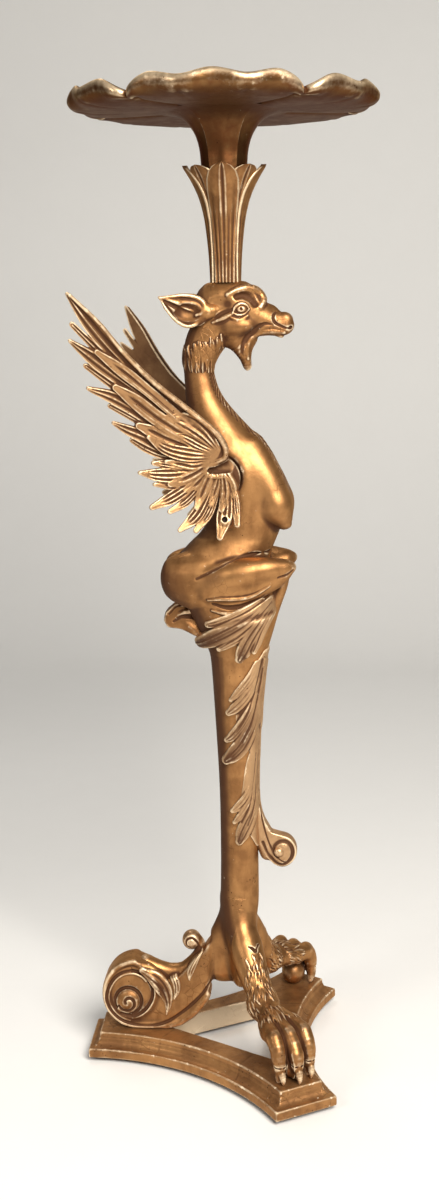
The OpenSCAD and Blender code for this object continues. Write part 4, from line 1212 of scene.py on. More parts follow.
LOW_FEATHERS = (
    [(-86, 740, 3), (-76, 739, 4.8), (-66, 737, 5.3), (-55, 734, 4.9)],
    [(-102, 729, 2.6), (-84, 726, 7.6), (-65, 725, 9), (-47, 727, 5.7)],
    [(-85, 714, 2.6), (-64, 712, 5.5), (-44, 717, 5.5), (-26, 729, 3)],
    [(-88, 687, 3.6), (-66, 697, 7.8), (-45, 711, 6.8), (-27, 728, 5)],
    [(-67, 681, 3.4), (-49, 691, 5.6), (-34, 707, 4.4), (-21, 725, 3)],
    [(-55, 659, 3.2), (-37, 674, 8), (-24, 696, 6), (-15, 721, 3.5)],
    [(-36, 658, 3.6), (-22, 675, 5.2), (-13, 696, 4), (-8, 719, 3)],
    [(-7, 650, 4.2), (-2, 672, 9.6), (1, 695, 7), (0, 718, 5)],
    [(14, 664, 3.4), (13, 682, 4.6), (12, 699, 3.8), (7, 716, 3)],
)
SHORT_FEATHERS = (
    [(-72, 742, 2.6), (-56, 739, 5.6), (-40, 736, 5.4), (-23, 741, 4)],
    [(-68, 714, 3.6), (-50, 721, 7), (-34, 730, 6), (-19, 743, 4.4)],
    [(-50, 705, 3), (-36, 714, 6.4), (-25, 727, 5), (-16, 741, 3.4)],
    [(-36, 684, 3.4), (-29, 703, 7.6), (-22, 722, 6.4), (-14, 741, 4)],
    [(-19, 687, 3.2), (-13, 703, 5.2), (-9, 718, 4.6), (-8, 733, 3.5)],
    [(-5, 681, 3.8), (-1, 697, 6.4), (0, 714, 5.2), (-2, 730, 3.4)],
    [(10, 698, 3.6), (10, 711, 4.2), (5, 723, 3.6), (-2, 733, 3)],
)
SHOULDER_FEATHERS = (
    [(-92, 774, 2.6), (-72, 759, 7.6), (-47, 752, 9.6), (-20, 750, 5)],
    [(-62, 777, 2.6), (-47, 771, 7), (-32, 763, 6.8), (-14, 755, 4.5)],
    [(-70, 799, 3), (-47, 793, 10.6), (-26, 779, 10), (-9, 760, 4.6)],
)
WING_RIM = [
    (-168, 946, 4, 1.9), (-139, 914, 4.8, 2.4), (-117, 882, 5.4, 2.8), (-85, 845, 6.2, 3.2),
    (-52, 816, 7.6, 3.4),
    (-29, 797, 9, 3.4), (-13, 783, 10, 3.6), (-3, 771, 10.6, 3.8), (2, 759, 10.6, 3.8), (0.5, 749, 10.4, 3.6),
    (-9, 743.5, 10, 3.4), (-20, 739.5, 9, 3.0), (-27, 731.5, 8.4, 2.8), (-22, 723.5, 8.2, 3.2),
    (-10, 722, 8.6, 3.8),
    (1, 722.5, 8, 3.4), (8.5, 715.5, 6.5, 2.4), (13, 706, 4.6, 1.4),
]  # fmt: skip


def long_top(lift):
    """The face of a long feather, with its quill and lines."""

    def top(lane):
        s = lane.s
        crown = lift - 0.9 * np.clip(np.abs(s), 0, 1) ** 2
        lines = 2.2 * bell(s, -0.84, 0.2) + 1.4 * bell(s, 0.05, 0.12) - 1.1 * bell(s, -0.38, 0.18)
        lines = lines - 1.0 * bell(s, 0.48, 0.2) + 1.1 * bell(s, 0.92, 0.14)
        return crown + lines * (1 - 0.3 * ease(0.7, 1, lane.t))

    return top


def rimmed_top(lift, rise, lines, rim):
    """A rounded feather with a raised edge and fine ribs, that rises to the shoulder."""

    def top(lane):
        s, e = lane.s, lane.e
        edge = 1.4 * rim * bell(e, 0.86, 0.16) * (1 - 0.55 * ease(0.55, 1, lane.t))
        ribs = 1.35 * np.cos(math.pi * (lines + 1) * s + math.pi) * ease(0.1, 0.3, lane.t)
        ribs = ribs * ease(1.0, 0.75, np.abs(s)) * (1 - 0.5 * ease(0.7, 1, lane.t))
        return lift + rise * ease(0, 1, lane.t) + 1.2 * (1 - np.clip(e, 0, 1) ** 2) + edge + ribs

    return top


class STAND_OT_wings(StandOperator):
    """Carves the two feathered wings"""

    bl_idname = "stand.wings"
    bl_label = "Wings"

    root = (-9.0, 719.0)
    seat = 36.0
    thick = 16.0
    lead = 278.0
    left_lead = 252.0
    tip_out = 175.0
    hole = (-1.0, 669.0)

    def rise(self, d):
        half = self.thick / 2
        return half + (self.tip_out - self.seat - half) * (np.maximum(d, 0) / self.lead) ** 1.4

    def spread(self, points, left):
        """Bends the flat carving outwards, as the wing stands off the body."""
        u, v, w = points.T.astype(float)
        du, dv = u - self.root[0], v - self.root[1]
        d = np.hypot(du, dv)
        out = self.rise(d)
        slope = 1.4 * (self.tip_out - self.seat - self.thick / 2) * (d / self.lead) ** 0.4 / self.lead
        gx, gz = slope * du / np.maximum(d, 1e-3), slope * dv / np.maximum(d, 1e-3)
        size = np.sqrt(1 + gx * gx + gz * gz)
        if left:
            share = self.left_lead / self.lead
            grow = 1 - (1 - share) * ease(60, 200, d)
            turn = math.radians(-1.6) * ease(60, 200, d)
            c, s = np.cos(turn), np.sin(turn)
            du, dv = grow * (du * c - dv * s), grow * (du * s + dv * c)
        x = self.root[0] + du - w * gx / size
        y = self.seat + out + w / size
        z = self.root[1] + dv - w * gz / size
        return np.stack([x, y, z], 1)

    def make(self, context):
        step = sizes().wing_grain * 1000
        clay = Clay((-182, 640, -19), (26, 956, 22), step)
        flat = np.broadcast_to(clay.ax[2][None, None, :], clay.d.shape)
        for feathers, top, least in (
            (UNDER_VANES, long_top(1.7), -2.2),
            (LONG_FEATHERS[::-1], long_top(3.2), -2.2),
            (LOW_FEATHERS, rimmed_top(2.4, 3.5, 2, 0.8), -3.0),
            (SECOND_FEATHERS[::-1], rimmed_top(4.6, 2.5, 1, 1.5), -2.2),
            (SHORT_FEATHERS, rimmed_top(5.2, 4.5, 1, 0.8), -3.0),
            (SHOULDER_FEATHERS, rimmed_top(6.8, 3.6, 2, 0.8), -3.0),
        ):
            for stations in feathers:
                clay.layer(stations, top, flat, plane=(0, 1), least=least, k=0.3, count=26)
        clay.ball((-13, 750, 3), (15, 17, 9.5), k=5)
        clay.ball((-16, 728, 0), (24, 24, 9), k=5)
        clay.limb([(-118, 868, 9, 2.4), (-92, 840, 10, 4.2), (-60, 810, 11, 5.6), (-38, 790, 13, 5.6),
            (-24, 778, 14, 3.4)], k=2.0, cut=True, count=14)
        clay.limb([(-19, 731, 9, 4.6), (-9, 732, 7, 6.4), (4, 734, 6, 7.4), (16, 740, 5, 8.5)], k=1.2,
            cut=True, count=10)
        clay.limb(WING_RIM, k=1.8, count=44)
        clay.ball((*self.root, -5), (25, 25, 7), k=3)
        boss = float(self.rise(50.0))
        clay.limb([(*self.hole, -boss + 1, 8), (*self.hole, -1, 8)], k=1.5, count=3)
        clay.limb([(*self.hole, -4, 3.4), (*self.hole, 20, 3.4)], k=0.3, cut=True, count=3)
        clay.soften(0.55)
        points, quads = clay.skin()
        lie = clay.normals(points)
        # Painted shade: where other feathers close in, and on surfaces that face down
        deep = closed_in(clay, points, lie) + 0.45 * ease(0.3, 0.8, -lie[:, 2])
        for left in (True, False):
            placed = self.spread(points, left)
            faces = quads[:, ::-1]
            if not left:
                placed[:, 1] *= -1
                faces = quads
            side = "left_wing" if left else "right_wing"
            mesh = raw_mesh("carved_" + side, placed, faces)
            age(mesh, shut=deep)
            place("carved_" + side, mesh, side, "wings")


# Lobes of carved leaves as stations of forward, up, half width from the tip to the root
SKIRT_LOBES = (
    [(-26, 539, 3.6), (-14, 542, 5.4), (4, 549, 5.4), (22, 558, 4.4), (42, 569, 2.8)],
    [(-12, 509, 3.2), (0, 516, 5.2), (16, 526, 5.4), (36, 546, 4.0), (55, 566, 2.4)],
    [(31, 506, 3.4), (36, 517, 4.6), (42, 531, 4.8), (52, 548, 3.8), (64, 564, 2.4)],
    [(13, 496, 5.6), (18, 506, 9.0), (27, 523, 9.0), (41, 543, 6.6), (58, 563, 2.8)],
    [(-43, 511, 5.0), (-32, 516, 8.6), (-14, 525, 11.4), (8, 537, 10.6), (28, 549, 7.6), (52, 569, 2.8)],
)
UPPER_LOBES = (
    [(1, 444, 2.8), (8, 451, 4.8), (18, 462, 5.6), (27, 474, 5.4), (34, 488, 4.2)],
    [(-2, 428, 4.0), (5, 433, 6.6), (14, 441, 7.0), (24, 453, 6.0), (33, 467, 4.0)],
    [(-5, 394, 3.4), (2, 399, 5.8), (13, 412, 6.4), (24, 430, 5.6), (34, 448, 3.6)],
    [(-6, 369, 5.6), (3, 376, 9.4), (14, 388, 10.4), (27, 411, 7.6), (37, 442, 3.6)],
)
LOWER_LOBES = (
    [(1, 306, 3.2), (7, 310, 5.4), (15, 318, 5.8), (22, 329, 4.8), (28, 342, 3.6)],
    [(3, 292, 2.6), (9, 298, 4.4), (17, 308, 4.8), (25, 320, 4.0), (31, 332, 3.0)],
    [(9, 269, 5.2), (13, 278, 8.8), (19, 290, 9.4), (26, 304, 7.0), (32, 322, 3.4)],
)
SCROLL_LOBES = (
    [(-56, 94, 1.4), (-55, 103, 4.2), (-50, 114, 4.2), (-42, 127, 2.6)],
    [(-75, 70, 1.2), (-72, 80, 3.8), (-74, 92, 4.6), (-83, 104, 3.8)],
    [(-85, 51, 1.0), (-83, 64, 4.6), (-87, 79, 8.6), (-97, 93, 8.8), (-114, 104, 4.6)],
)


def lobe_top(lift, tip, rim):
    """The face of a leaf's lobe: curled up at the tip, with a raised edge, a rib and a groove on each side."""

    def top(lane):
        s, e = lane.s, lane.e
        fade = 1 - 0.7 * ease(0.6, 1, lane.t)
        face = lift * (1 - 0.35 * ease(0.7, 1, lane.t)) + tip * ease(0.4, 0.0, lane.t)
        ridge = rim * (1 - np.clip(e, 0, 1) ** 2)
        face = face + fade * (ridge - 0.9 * bell(s, -0.25, 0.09) - 0.8 * bell(s, 0.42, 0.09))
        return face - 1.2 * ease(0.92, 1.1, e)

    return top


class STAND_OT_leaves(StandOperator):
    """Carves the skirt leaves and the tail leaf"""

    bl_idname = "stand.leaves"
    bl_label = "Skirt and tail leaves"

    def make(self, context):
        step = sizes().leaf_grain * 1000
        lift = sizes().leaf_lift * 1000
        low, high = (-54, 0, 484), (78, 62, 580)
        under = Clay(low, high, step, half=True).from_cad("haunches", "shaft", "left_skirt_leaf").soften(2.0)
        clay = Clay(low, high, step, half=True)
        sheet = [(-10, 530, 9), (12, 536, 17), (32, 547, 17), (50, 560, 10), (66, 572, 4)]
        clay.layer(sheet, lambda lane: lift - 2.8 - 0.8 * lane.e**2, under.d, least=13, k=0.5, depth=2.0)
        for i, lobe in enumerate(SKIRT_LOBES):
            clay.layer(lobe, lobe_top(lift - 2.0 + 0.5 * i, 1.2, 1.5), under.d, least=13, k=0.8, depth=2.0)
        clay.soften(0.5)
        whole = carved_mesh(clay, "skirt_whole")
        carved_piece(whole, "left_skirt_leaf", "leaves", [((0, 0.5, 0), (0, -1, 0))])
        carved_piece(whole, "right_skirt_leaf", "leaves", [((0, -0.5, 0), (0, 1, 0))])
        self.tail(step)

    def tail(self, step):
        clay = Clay((-94, 0, 504), (-22, 26, 572), step, half=True).from_cad("tail_leaf").soften(1.6)
        clay.limb([(-28, 0, 549, 6), (-46, 0, 551, 8), (-62, 0, 551, 9), (-73, 0, 545, 7), (-78, 0, 537, 4),
            (-78, 0, 531, 1.8)], k=4)
        clay.limb([(-24, 12, 551, 2.4), (-38, 14.5, 549.5, 3.2), (-53, 14, 549.5, 3.2), (-65, 10.5, 543, 2.8),
            (-73, 6, 536, 2.2), (-78, 1, 531, 1.4)], k=2.5)
        clay.limb([(-34, 9, 518, 4), (-44, 10, 526, 5.5), (-54, 9, 533, 5), (-66, 5, 538, 3.4)], k=4)
        clay.ball((-40, 0, 535), (13, 13, 16), k=4).ball((-56, 0, 543), (14, 12, 9), k=4)
        clay.vein([(-34, 540, 1.4), (-46, 543, 2.4), (-60, 543, 2.0), (-70, 537, 1.0)], lift=0.8, k=2.5,
            cut=True)
        clay.vein([(-32, 556, 1.0), (-50, 558, 1.5), (-66, 556, 1.3), (-76, 546, 1.0)], lift=0.4, k=1.5,
            cut=True)
        clay.soften(0.5)
        # Painted shade on the sides turned back (back amount)
        carved_piece(carved_mesh(clay, "tail_whole", back=0.7), "tail_leaf", "shaft")


class STAND_OT_shaft(StandOperator):
    """Carves the shaft, the leaf down its front and the front volute"""

    bl_idname = "stand.shaft"
    bl_label = "Shaft"

    def make(self, context):
        step = sizes().leaf_grain * 1000
        lift = sizes().leaf_lift * 1000
        low, high = (-46, 0, SHAFT_Z - 12), (84, 46, HAUNCH_Z + 12)
        clay = Clay(low, high, step, half=True).from_cad("shaft", "haunches", "leg_hub")
        for z in (SHAFT_Z, HAUNCH_Z):
            clay.bridge(*over(z))
        for node in ("shaft_dowel", "haunch_dowel"):
            fill_bore(clay, node)
        shoulder(clay, 60)
        clay.soften(1.5)
        # Painted shade on the sides turned back (back amount)
        whole = carved_mesh(clay, "shaft_whole", back=0.8)
        carved_piece(whole, "shaft", "shaft", [below(SHAFT_Z), over(HAUNCH_Z)])
        leaf = Clay(low, high, step, half=True)
        flat = lift - 2.0
        for sheet in (
            [(46, 498, 6), (38, 474, 13), (31, 450, 18), (27, 428, 20), (27, 405, 18), (31, 384, 11),
                (34, 368, 6)],
            [(32, 388, 5), (29, 362, 11), (27, 336, 13), (25, 312, 14), (27, 290, 11), (34, 262, 6)],
        ):
            leaf.layer(sheet, lambda lane: flat - 1.0 * ease(0.55, 1.0, lane.e), clay.d, k=0.8, depth=2.0)
        for lobes in (UPPER_LOBES, LOWER_LOBES):
            for i, lobe in enumerate(lobes):
                leaf.layer(lobe, lobe_top(lift - 1.2 + 0.5 * i, 1.0, 1.3), clay.d, k=0.8, depth=2.0)
        spine = [(38, 404, 1.6), (36, 430, 3.4), (39, 456, 3.2), (44, 492, 2.2)]
        leaf.layer(spine, lambda lane: flat + 1.5 - 1.0 * lane.e**2, clay.d, k=1.5, depth=2.0)
        for rib in (
            [(8, 404), (22, 428), (33, 462), (40, 492)],
            [(14, 392), (27, 418), (35, 450), (41, 480)],
            [(12, 292), (23, 314), (28, 345), (31, 375)],
            [(20, 288), (28, 312), (31, 345), (33, 372)],
        ):
            leaf.vein([(x, z, 0.9) for x, z in rib], lift=0.5, k=1.2, cut=True, count=24)
        # midrib and grooves down the front of the leaf
        leaf.limb(self.face(leaf, 0.0, 487, 276, 1.3, 2.5), k=1.5, count=70)
        for y in (4.2, 8.6):
            leaf.limb(self.face(leaf, y, 480 - y, 292 + 2 * y, -0.1, 1.0), k=0.7, cut=True, count=70)
        leaf.soften(0.5)
        carved_piece(carved_mesh(leaf, "leaf_whole"), "drop_leaf", "leaves")
        self.volute()

    def face(self, clay, y, top, foot, inset, radius):
        """Stations down the front of the carving, at one distance from its middle."""
        reach = np.arange(82.0, 10.0, -0.25, dtype=np.float32)
        places = []
        for z in np.linspace(top, foot, 18):
            row = np.stack([reach, np.full_like(reach, y), np.full_like(reach, z)], 1)
            inside = np.nonzero(clay.at(row) < 0)[0]
            if len(inside):
                places.append((float(reach[inside[0]]) - inset, y, float(z), radius))
        return places

    def volute(self):
        clay = Clay((8, 0, 222), (86, 20, 326), 0.6, half=True).from_cad("front_volute").soften(1.2)
        clay.ball((60.5, 0, 250.5), (18.0, 13.5, 21.5), k=2)
        clay.limb([(27, 0, 330, 6), (28, 0, 300, 8), (33, 0, 270, 9), (42, 0, 246, 9)], k=3)
        turn = [(27, 326), (29, 298), (34, 272), (42, 250), (52, 237), (62, 234), (71, 241), (74, 252),
            (69, 262)]
        turn = spline([*turn, (59, 264), (51, 258), (50, 250), (55, 246)], 60)
        clay.vein([(x, z, 1.9) for x, z in turn[12:]], lift=0.9, k=2.0, cut=True, count=60)
        clay.vein([(x + 6, z + 4, 0.9) for x, z in turn[4:24]], lift=0.5, k=1.0, cut=True, count=24)
        clay.ball((57, clay.out(57, 251) - 2.0, 251), (6.0, 5.2, 6.0), k=0.8)
        side = [(20, 330, 1.4), (22, 300, 1.4), (27, 274, 1.4), (36, 246, 1.4), (48, 231, 1.2),
            (62, 227.5, 1.0)]
        clay.limb([(x, 4, z, r) for x, z, r in side], k=1, cut=True)
        carved_piece(carved_mesh(clay, "volute_whole"), "front_volute", "leaves")


# The swelling at the top of a paw leg, as stations of distance from the axis, height and radius
SHOULDER = ((5, 188, 17), (12, 168, 18.5), (24, 145, 18.5), (38, 127, 17.5), (52, 111, 15), (68, 95, 11),
    (82, 84, 6))


def shoulder(clay, turn):
    """Adds the swelling of the leg that stands turned by that many degrees."""
    c, s = math.cos(math.radians(turn)), math.sin(math.radians(turn))
    return clay.limb([(r * c, r * s, z, half) for r, z, half in SHOULDER], k=8, count=24)


class STAND_OT_legs(StandOperator):
    """Carves the hub, the scroll leg and the two paw legs"""

    bl_idname = "stand.legs"
    bl_label = "Legs"

    seat = 30.0
    eye = (-133, 65)

    def make(self, context):
        hub = self.hub()
        self.scroll()
        self.paws(hub)

    def hub(self):
        clay = Clay((-50, -46, HUB_Z - 8), (50, 46, SHAFT_Z + 10), 0.9)
        clay.from_cad("leg_hub", "shaft", "scroll_leg", "left_paw_leg", "right_paw_leg")
        fill_bore(clay, "shaft_dowel")
        clay.bridge(*over(SHAFT_Z)).bridge((-self.seat, 0, 0), (-1, 0, 0))
        for turn in (-60, 60):
            c, s = math.cos(math.radians(turn)), math.sin(math.radians(turn))
            clay.bridge((self.seat * c, self.seat * s, 0), (c, s, 0))
            shoulder(clay, turn)
        clay.soften(1.8)
        cuts = [over(SHAFT_Z), ((-self.seat, 0, 0), (-1, 0, 0))]
        for way in (-1, 1):
            n = (0.5, way * 0.5 * math.sqrt(3), 0.0)
            cuts.append(((self.seat * n[0], self.seat * n[1], 0), n))
        # Painted shade on the sides turned back, more of it higher up
        whole = carved_mesh(clay, "hub_whole", back=lambda p: 0.8 * ease(110, 190, p[:, 2]))
        carved_piece(whole, "leg_hub", "legs", cuts)
        return clay

    def scroll(self):
        step = sizes().leg_grain * 1000
        low, high = (-176, 0, 24), (-16, 27, 154)
        clay = Clay(low, high, step, half=True).from_cad("scroll_leg", "leg_hub")
        clay.bridge((-self.seat, 0, 0), (1, 0, 0)).soften(2.4)
        outer = [(-20, 108), (-28, 92), (-42, 74), (-62, 55), (-86, 40), (-112, 36), (-137, 40), (-153, 52),
            (-160, 68)]
        outer += [(-156, 84), (-145, 97), (-129, 102), (-113, 97), (-104, 84), (-103, 70), (-112, 55),
            (-126, 47)]
        line = spline([*outer, (-141, 50)], 90)
        clay.vein([(x, z, 1.5) for x, z in line[:62]], lift=0.9, k=1.4, cut=True, count=90)
        clay.vein([(x, z, 1.9) for x, z in line[58:]], lift=0.2, k=1.2, cut=True, count=50)
        ex, ez = self.eye
        inner = [(x + (ex - x) * 0.10, z + (ez + 1 - z) * 0.10) for x, z in line[30:66]]
        clay.vein([(x, z, 1.0) for x, z in inner], lift=0.2, k=1.2, count=44)
        eye = [(ex + 16.4 * math.cos(t), ez + 16.4 * math.sin(t), 1.8) for t in np.linspace(-1.2, 3.6, 24)]
        clay.vein(eye, lift=0.0, k=1.0, cut=True, count=40)
        clay.ball((ex, clay.out(ex, ez) - 6, ez), (13.5, 9.5, 13.5), k=1.5)
        curl = zip(np.linspace(3.6, 9.4, 20), np.linspace(12.5, 3.0, 20))
        boss = [(ex + r * math.cos(t), ez + r * math.sin(t), 1.5) for t, r in curl]
        clay.vein(boss, lift=0.2, k=1.6, cut=True, count=50)
        for shift in (0, 1, 2):
            ridge = [(-96 - 2 * shift, 13 - 5.5 * shift, 99, 1.4),
                (-112, 14 - 6 * shift, 107.5 + 0.7 * shift, 1.8)]
            ridge += [(-130, 14.5 - 6 * shift, 112, 2.0), (-147, 15 - 6 * shift, 106, 1.8)]
            clay.limb([*ridge, (-158, 15 - 6 * shift, 92, 1.4)], k=2.2)
        carved_piece(carved_mesh(clay, "scroll_whole"), "scroll_leg", "legs",
            [((-self.seat, 0, 0), (1, 0, 0))])
        leaf = Clay(low, high, step, half=True)
        leaf.limb([(-66, 0, 97, 9), (-56, 0, 104, 9.5), (-48, 0, 114, 8), (-43.5, 0, 124, 6.5),
            (-44, 0, 133, 6), (-50, 0, 141, 5)], k=3, count=24)
        leaf.limb([(-112, 0, 106, 10), (-98, 0, 100, 10), (-84, 0, 96, 10), (-70, 0, 97, 9)], k=3, count=16)
        for i, lobe in enumerate(SCROLL_LOBES):
            leaf.layer(lobe, lobe_top(2.4 + 0.7 * i, 1.4, 1.8), clay.d, least=4, k=0.8, depth=1.5)
        leaf.ball((-54, 0, 136.3), (11.8, 11.5, 11.8), k=1.5)
        leaf.vein([(-43, 128, 1.0), (-47, 137, 1.4), (-53, 142, 1.4), (-60, 139, 1.4), (-60, 132, 1.2),
            (-55, 130, 0.8)], lift=0.4, k=0.8, cut=True)
        leaf.soften(0.4)
        carved_piece(carved_mesh(leaf, "curl_whole"), "scroll_leaf", "legs")

    def take_skin(self, clay, hub, turn):
        """Near the seat the leg follows the hub's own surface, so that the joint closes."""
        s, x, y, z = clay.room((14, -34, 26), (self.seat + 16, 34, SHAFT_Z + 6))
        c, sn = math.cos(turn), math.sin(turn)
        shape = clay.d[s].shape
        places = [np.broadcast_to(v, shape).ravel() for v in (x * c - y * sn, x * sn + y * c, z + 0 * x)]
        near = hub.at(np.stack(places, 1).astype(np.float32)).reshape(shape)
        share = ease(self.seat + 1, self.seat + 15, x)
        clay.d[s] = near * (1 - share) + clay.d[s] * share

    def paws(self, hub):
        step = sizes().leg_grain * 1000
        turn = math.radians(-60)
        clay = Clay((14, -34, 26), (174, 34, SHAFT_Z + 6), step)
        clay.from_cad("right_paw_leg", "leg_hub", "shaft", turn=turn)
        clay.bridge((self.seat, 0, 0), (1, 0, 0))
        shoulder(clay, 0).soften(1.8)
        clay.ball((73, 0, 86), (17, 19.5, 17), k=7)
        self.take_skin(clay, hub, turn)
        # three broad toes with their knuckles and claws, spread over the ball
        for y in (-9.8, 9.8):
            gap = [(143, 80, 4), (151, 72, 5), (156, 62, 5.5), (158, 50, 6), (156, 38, 6), (152, 30, 6)]
            clay.limb([(132, 0.95 * y, 86, 2)] + [(x, y, z, r) for x, z, r in gap], k=1.5, cut=True, count=20)
        for y in (-19.5, 0.0, 19.5):
            back = 0.3 * abs(y)
            toe = [(104, 0.6 * y, 79, 9), (120, 0.82 * y, 79, 9.6), (136, 0.97 * y, 77.5, 9.6)]
            toe += [(149 - 0.5 * back, y, 70.5, 9.2), (156 - back, y, 59, 8.2),
                (157.5 - back, 0.98 * y, 50, 6.8)]
            clay.limb(toe, k=3, count=16)
            clay.ball((139, y, 79), (9.0, 8.2, 8.4), k=3)
            clay.ball((155 - back, y, 61.5), (8.4, 8.2, 8.4), k=2.5)
            claw = [(157, 1, 51, 5.4), (161.5, 0.98, 44.5, 4.6), (164, 0.96, 38, 3.2),
                (163.5, 0.94, 32.5, 1.2)]
            clay.limb([(x - back, share * y, z, r) for x, share, z, r in claw], k=0.4, count=10)
            nail = [(152, 0, 53.5), (158, -6.2, 52), (165.5, 0, 51.5), (158, 6.2, 52), (152, 0, 53.5)]
            clay.limb([(x - back, y + o, z, 0.9) for x, o, z in nail], k=0.8, cut=True, count=20)
        for y in (-9.8, 9.8):
            web = [(116, 0.8 * y, 88.5, 1.0), (128, 0.9 * y, 88, 2.6), (140, y, 86, 3.0), (151, y, 79, 2.8)]
            clay.limb([*web, (158, y, 70, 2.4)], k=3.0, cut=True, count=16)
        clay.ball((139, 0, 46), (15, 15, 15), k=0.5)
        # locks of hair over the knee and at the back of the paw
        width = sizes().hair_width * 1000

        def knee(p):
            x, y, z = p.T
            ragged = 4 * np.sin(0.7 * y) + 3 * np.sin(0.31 * z)
            return (x > 58 + ragged) & (x < 84 + 0.6 * ragged) & (z > 66)

        def shin(p):
            share = ease(70, 108, p[:, 0])
            return np.stack([0.72 + 0.25 * share, 0.12 * np.sign(p[:, 1]), -0.72 + 0.62 * share], 1)

        def cuff(p):
            return (p[:, 0] > 99) & (p[:, 0] < 112) & (p[:, 2] > 60)

        def paw(p):
            return np.stack([0.9 + 0 * p[:, 0], 0.1 * np.sign(p[:, 1]), -0.45 + 0 * p[:, 0]], 1)

        clay.strands(knee, shin, 360, 9, width * 0.85, 4, lift=0.1, k=0.9)
        clay.strands(cuff, paw, 150, 14, width * 1.1, 9, lift=0.2, k=1.0, sway=0.12)
        cut = [((self.seat - 0.5, 0, 0), (-1, 0, 0)), over(SHAFT_Z)]
        far = seal(sawn(carved_mesh(clay, "left_leg_whole"), "left_leg", cut))
        far.transform(Matrix.Rotation(turn, 4, "Z"))
        place("carved_left_paw_leg", mirrored(far, "carved_left_paw_leg"), "left_paw_leg", "legs")
        # the old crack over the near leg
        crack = [(47.5, -5, 0.7), (50, -1, 1.9), (51.5, 2, 2.3), (49.5, 5, 1.0), (47, 8, 1.3),
            (44.5, 10.5, 0.6)]
        clay.limb([(x, y, clay.peak(x, y) - 0.6, r) for x, y, r in crack], k=0.2, cut=True, count=20)
        carved_piece(carved_mesh(clay, "right_leg_whole"), "right_paw_leg", "legs", cut, turn)


class STAND_OT_ears(StandOperator):
    """Makes the two folded ears"""

    bl_idname = "stand.ears"
    bl_label = "Ears"

    def make(self, context):
        clay = Clay((-86, 6, 892), (-4, 56, 954), 0.55)

        def side(x):
            return 22.0 + 0.30 * (-25.0 - x)

        def cord(stations, off=0.0, **how):
            clay.limb([(x, side(x) + off + o, z, r) for x, z, o, r in stations], **how)

        clay.limb([(-8, 15, 924, 9), (-22, 21, 922, 11)], k=2, count=4)
        for x, z, rx, rz, ry in ((-36, 922, 17, 18, 6.5), (-50, 924, 19, 16, 5.5), (-62, 930, 14, 9, 4.5)):
            clay.ball((x, side(x), z), (rx, ry, rz), k=3)
        cord([(-60, 932, 0, 7.5), (-70, 936, 0.5, 4.6), (-80, 940.5, 1, 1.6)], k=3, count=8)
        clay.ball((-44, side(-44) + 8.5, 921), (17, 9.5, 11.5), k=2.0, cut=True)
        cord([(-56, 926, 6.5, 4), (-66, 932, 4.5, 2.6), (-74, 936.5, 3.2, 1.0)], k=2.0, cut=True, count=8)
        cord([(-79, 940, 1.5, 1.4), (-66, 941, 3.0, 2.2), (-52, 942.5, 3.5, 2.6), (-39, 941, 4.0, 3.0),
            (-29, 936, 5.0, 3.3), (-24.5, 928, 6.0, 3.3), (-28, 920.5, 6.5, 2.8), (-35, 918, 5.0, 1.8)],
            k=1.5, count=26)
        cord([(-79, 939.5, 1, 1.2), (-70, 924, 3, 1.8), (-59, 911, 3.5, 2.2), (-47, 904.5, 3.5, 2.5),
            (-36, 907, 3.5, 2.4), (-29, 914, 3.0, 2.0)], k=1.5, count=22)
        cord([(-68, 934.5, 2.2, 0.8), (-54, 929, 1.2, 1.3), (-42, 924, 0.6, 1.3), (-34, 921, 1.0, 0.9)],
            off=-0.6, k=1.2, count=16)
        clay.soften(0.6)
        whole = seal(carved_mesh(clay, "ear_whole"))
        for node, made in (("left_ear", whole), ("right_ear", mirrored(whole, "carved_right_ear"))):
            place("carved_" + node, made, node, "beast")


class STAND_OT_plinth(StandOperator):
    """Makes the open three sided plinth"""

    bl_idname = "stand.plinth"
    bl_label = "Plinth"

    joint = 58.0
    inner = 37

    def make(self, context):
        clay = Clay((-184, 0, 1), (129, 180, 35), sizes().plinth_grain * 1000, half=True)
        clay.from_cad("rear_corner", "left_corner", "front_rail", "left_rail").soften(0.8)
        whole = carved_mesh(clay, "plinth_whole")
        self.mark_bare(whole)
        for node, turn in (("front_rail", 0), ("left_rail", 120), ("right_rail", 240)):
            cuts = [self.plane(turn, 0, self.joint, 1), self.plane(turn, 0, -self.joint, -1)]
            carved_piece(whole, node, "plinth", [*cuts, self.plane(turn, self.inner, 0, 0)])
        for node, turn in (("left_corner", 0), ("rear_corner", 120), ("right_corner", 240)):
            cuts = [self.plane(turn, 0, self.joint, -1), self.plane(turn + 120, 0, -self.joint, 1)]
            carved_piece(whole, node, "plinth", cuts)

    def plane(self, turn, x, y, way):
        """A saw cut square to a rail's length (way is the side removed), or for way 0 along its inner side."""
        c, s = math.cos(math.radians(turn)), math.sin(math.radians(turn))
        point = (x * c - y * s, x * s + y * c, 0)
        normal = (-c, -s, 0) if way == 0 else (-way * s, way * c, 0)
        return point, normal

    def mark_bare(self, mesh):
        """Marks the walls of the opening, which were never gilded."""
        co = read(mesh.vertices, "co") * 1000
        lie = read(mesh.attributes["lie"].data, "vector")
        inward = -(lie[:, :2] * co[:, :2]).sum(1) / np.maximum(np.linalg.norm(co[:, :2], axis=1), 1)
        mark(mesh, "bare", ease(0.25, 0.6, inward) * ease(0.75, 0.5, np.abs(lie[:, 2])))


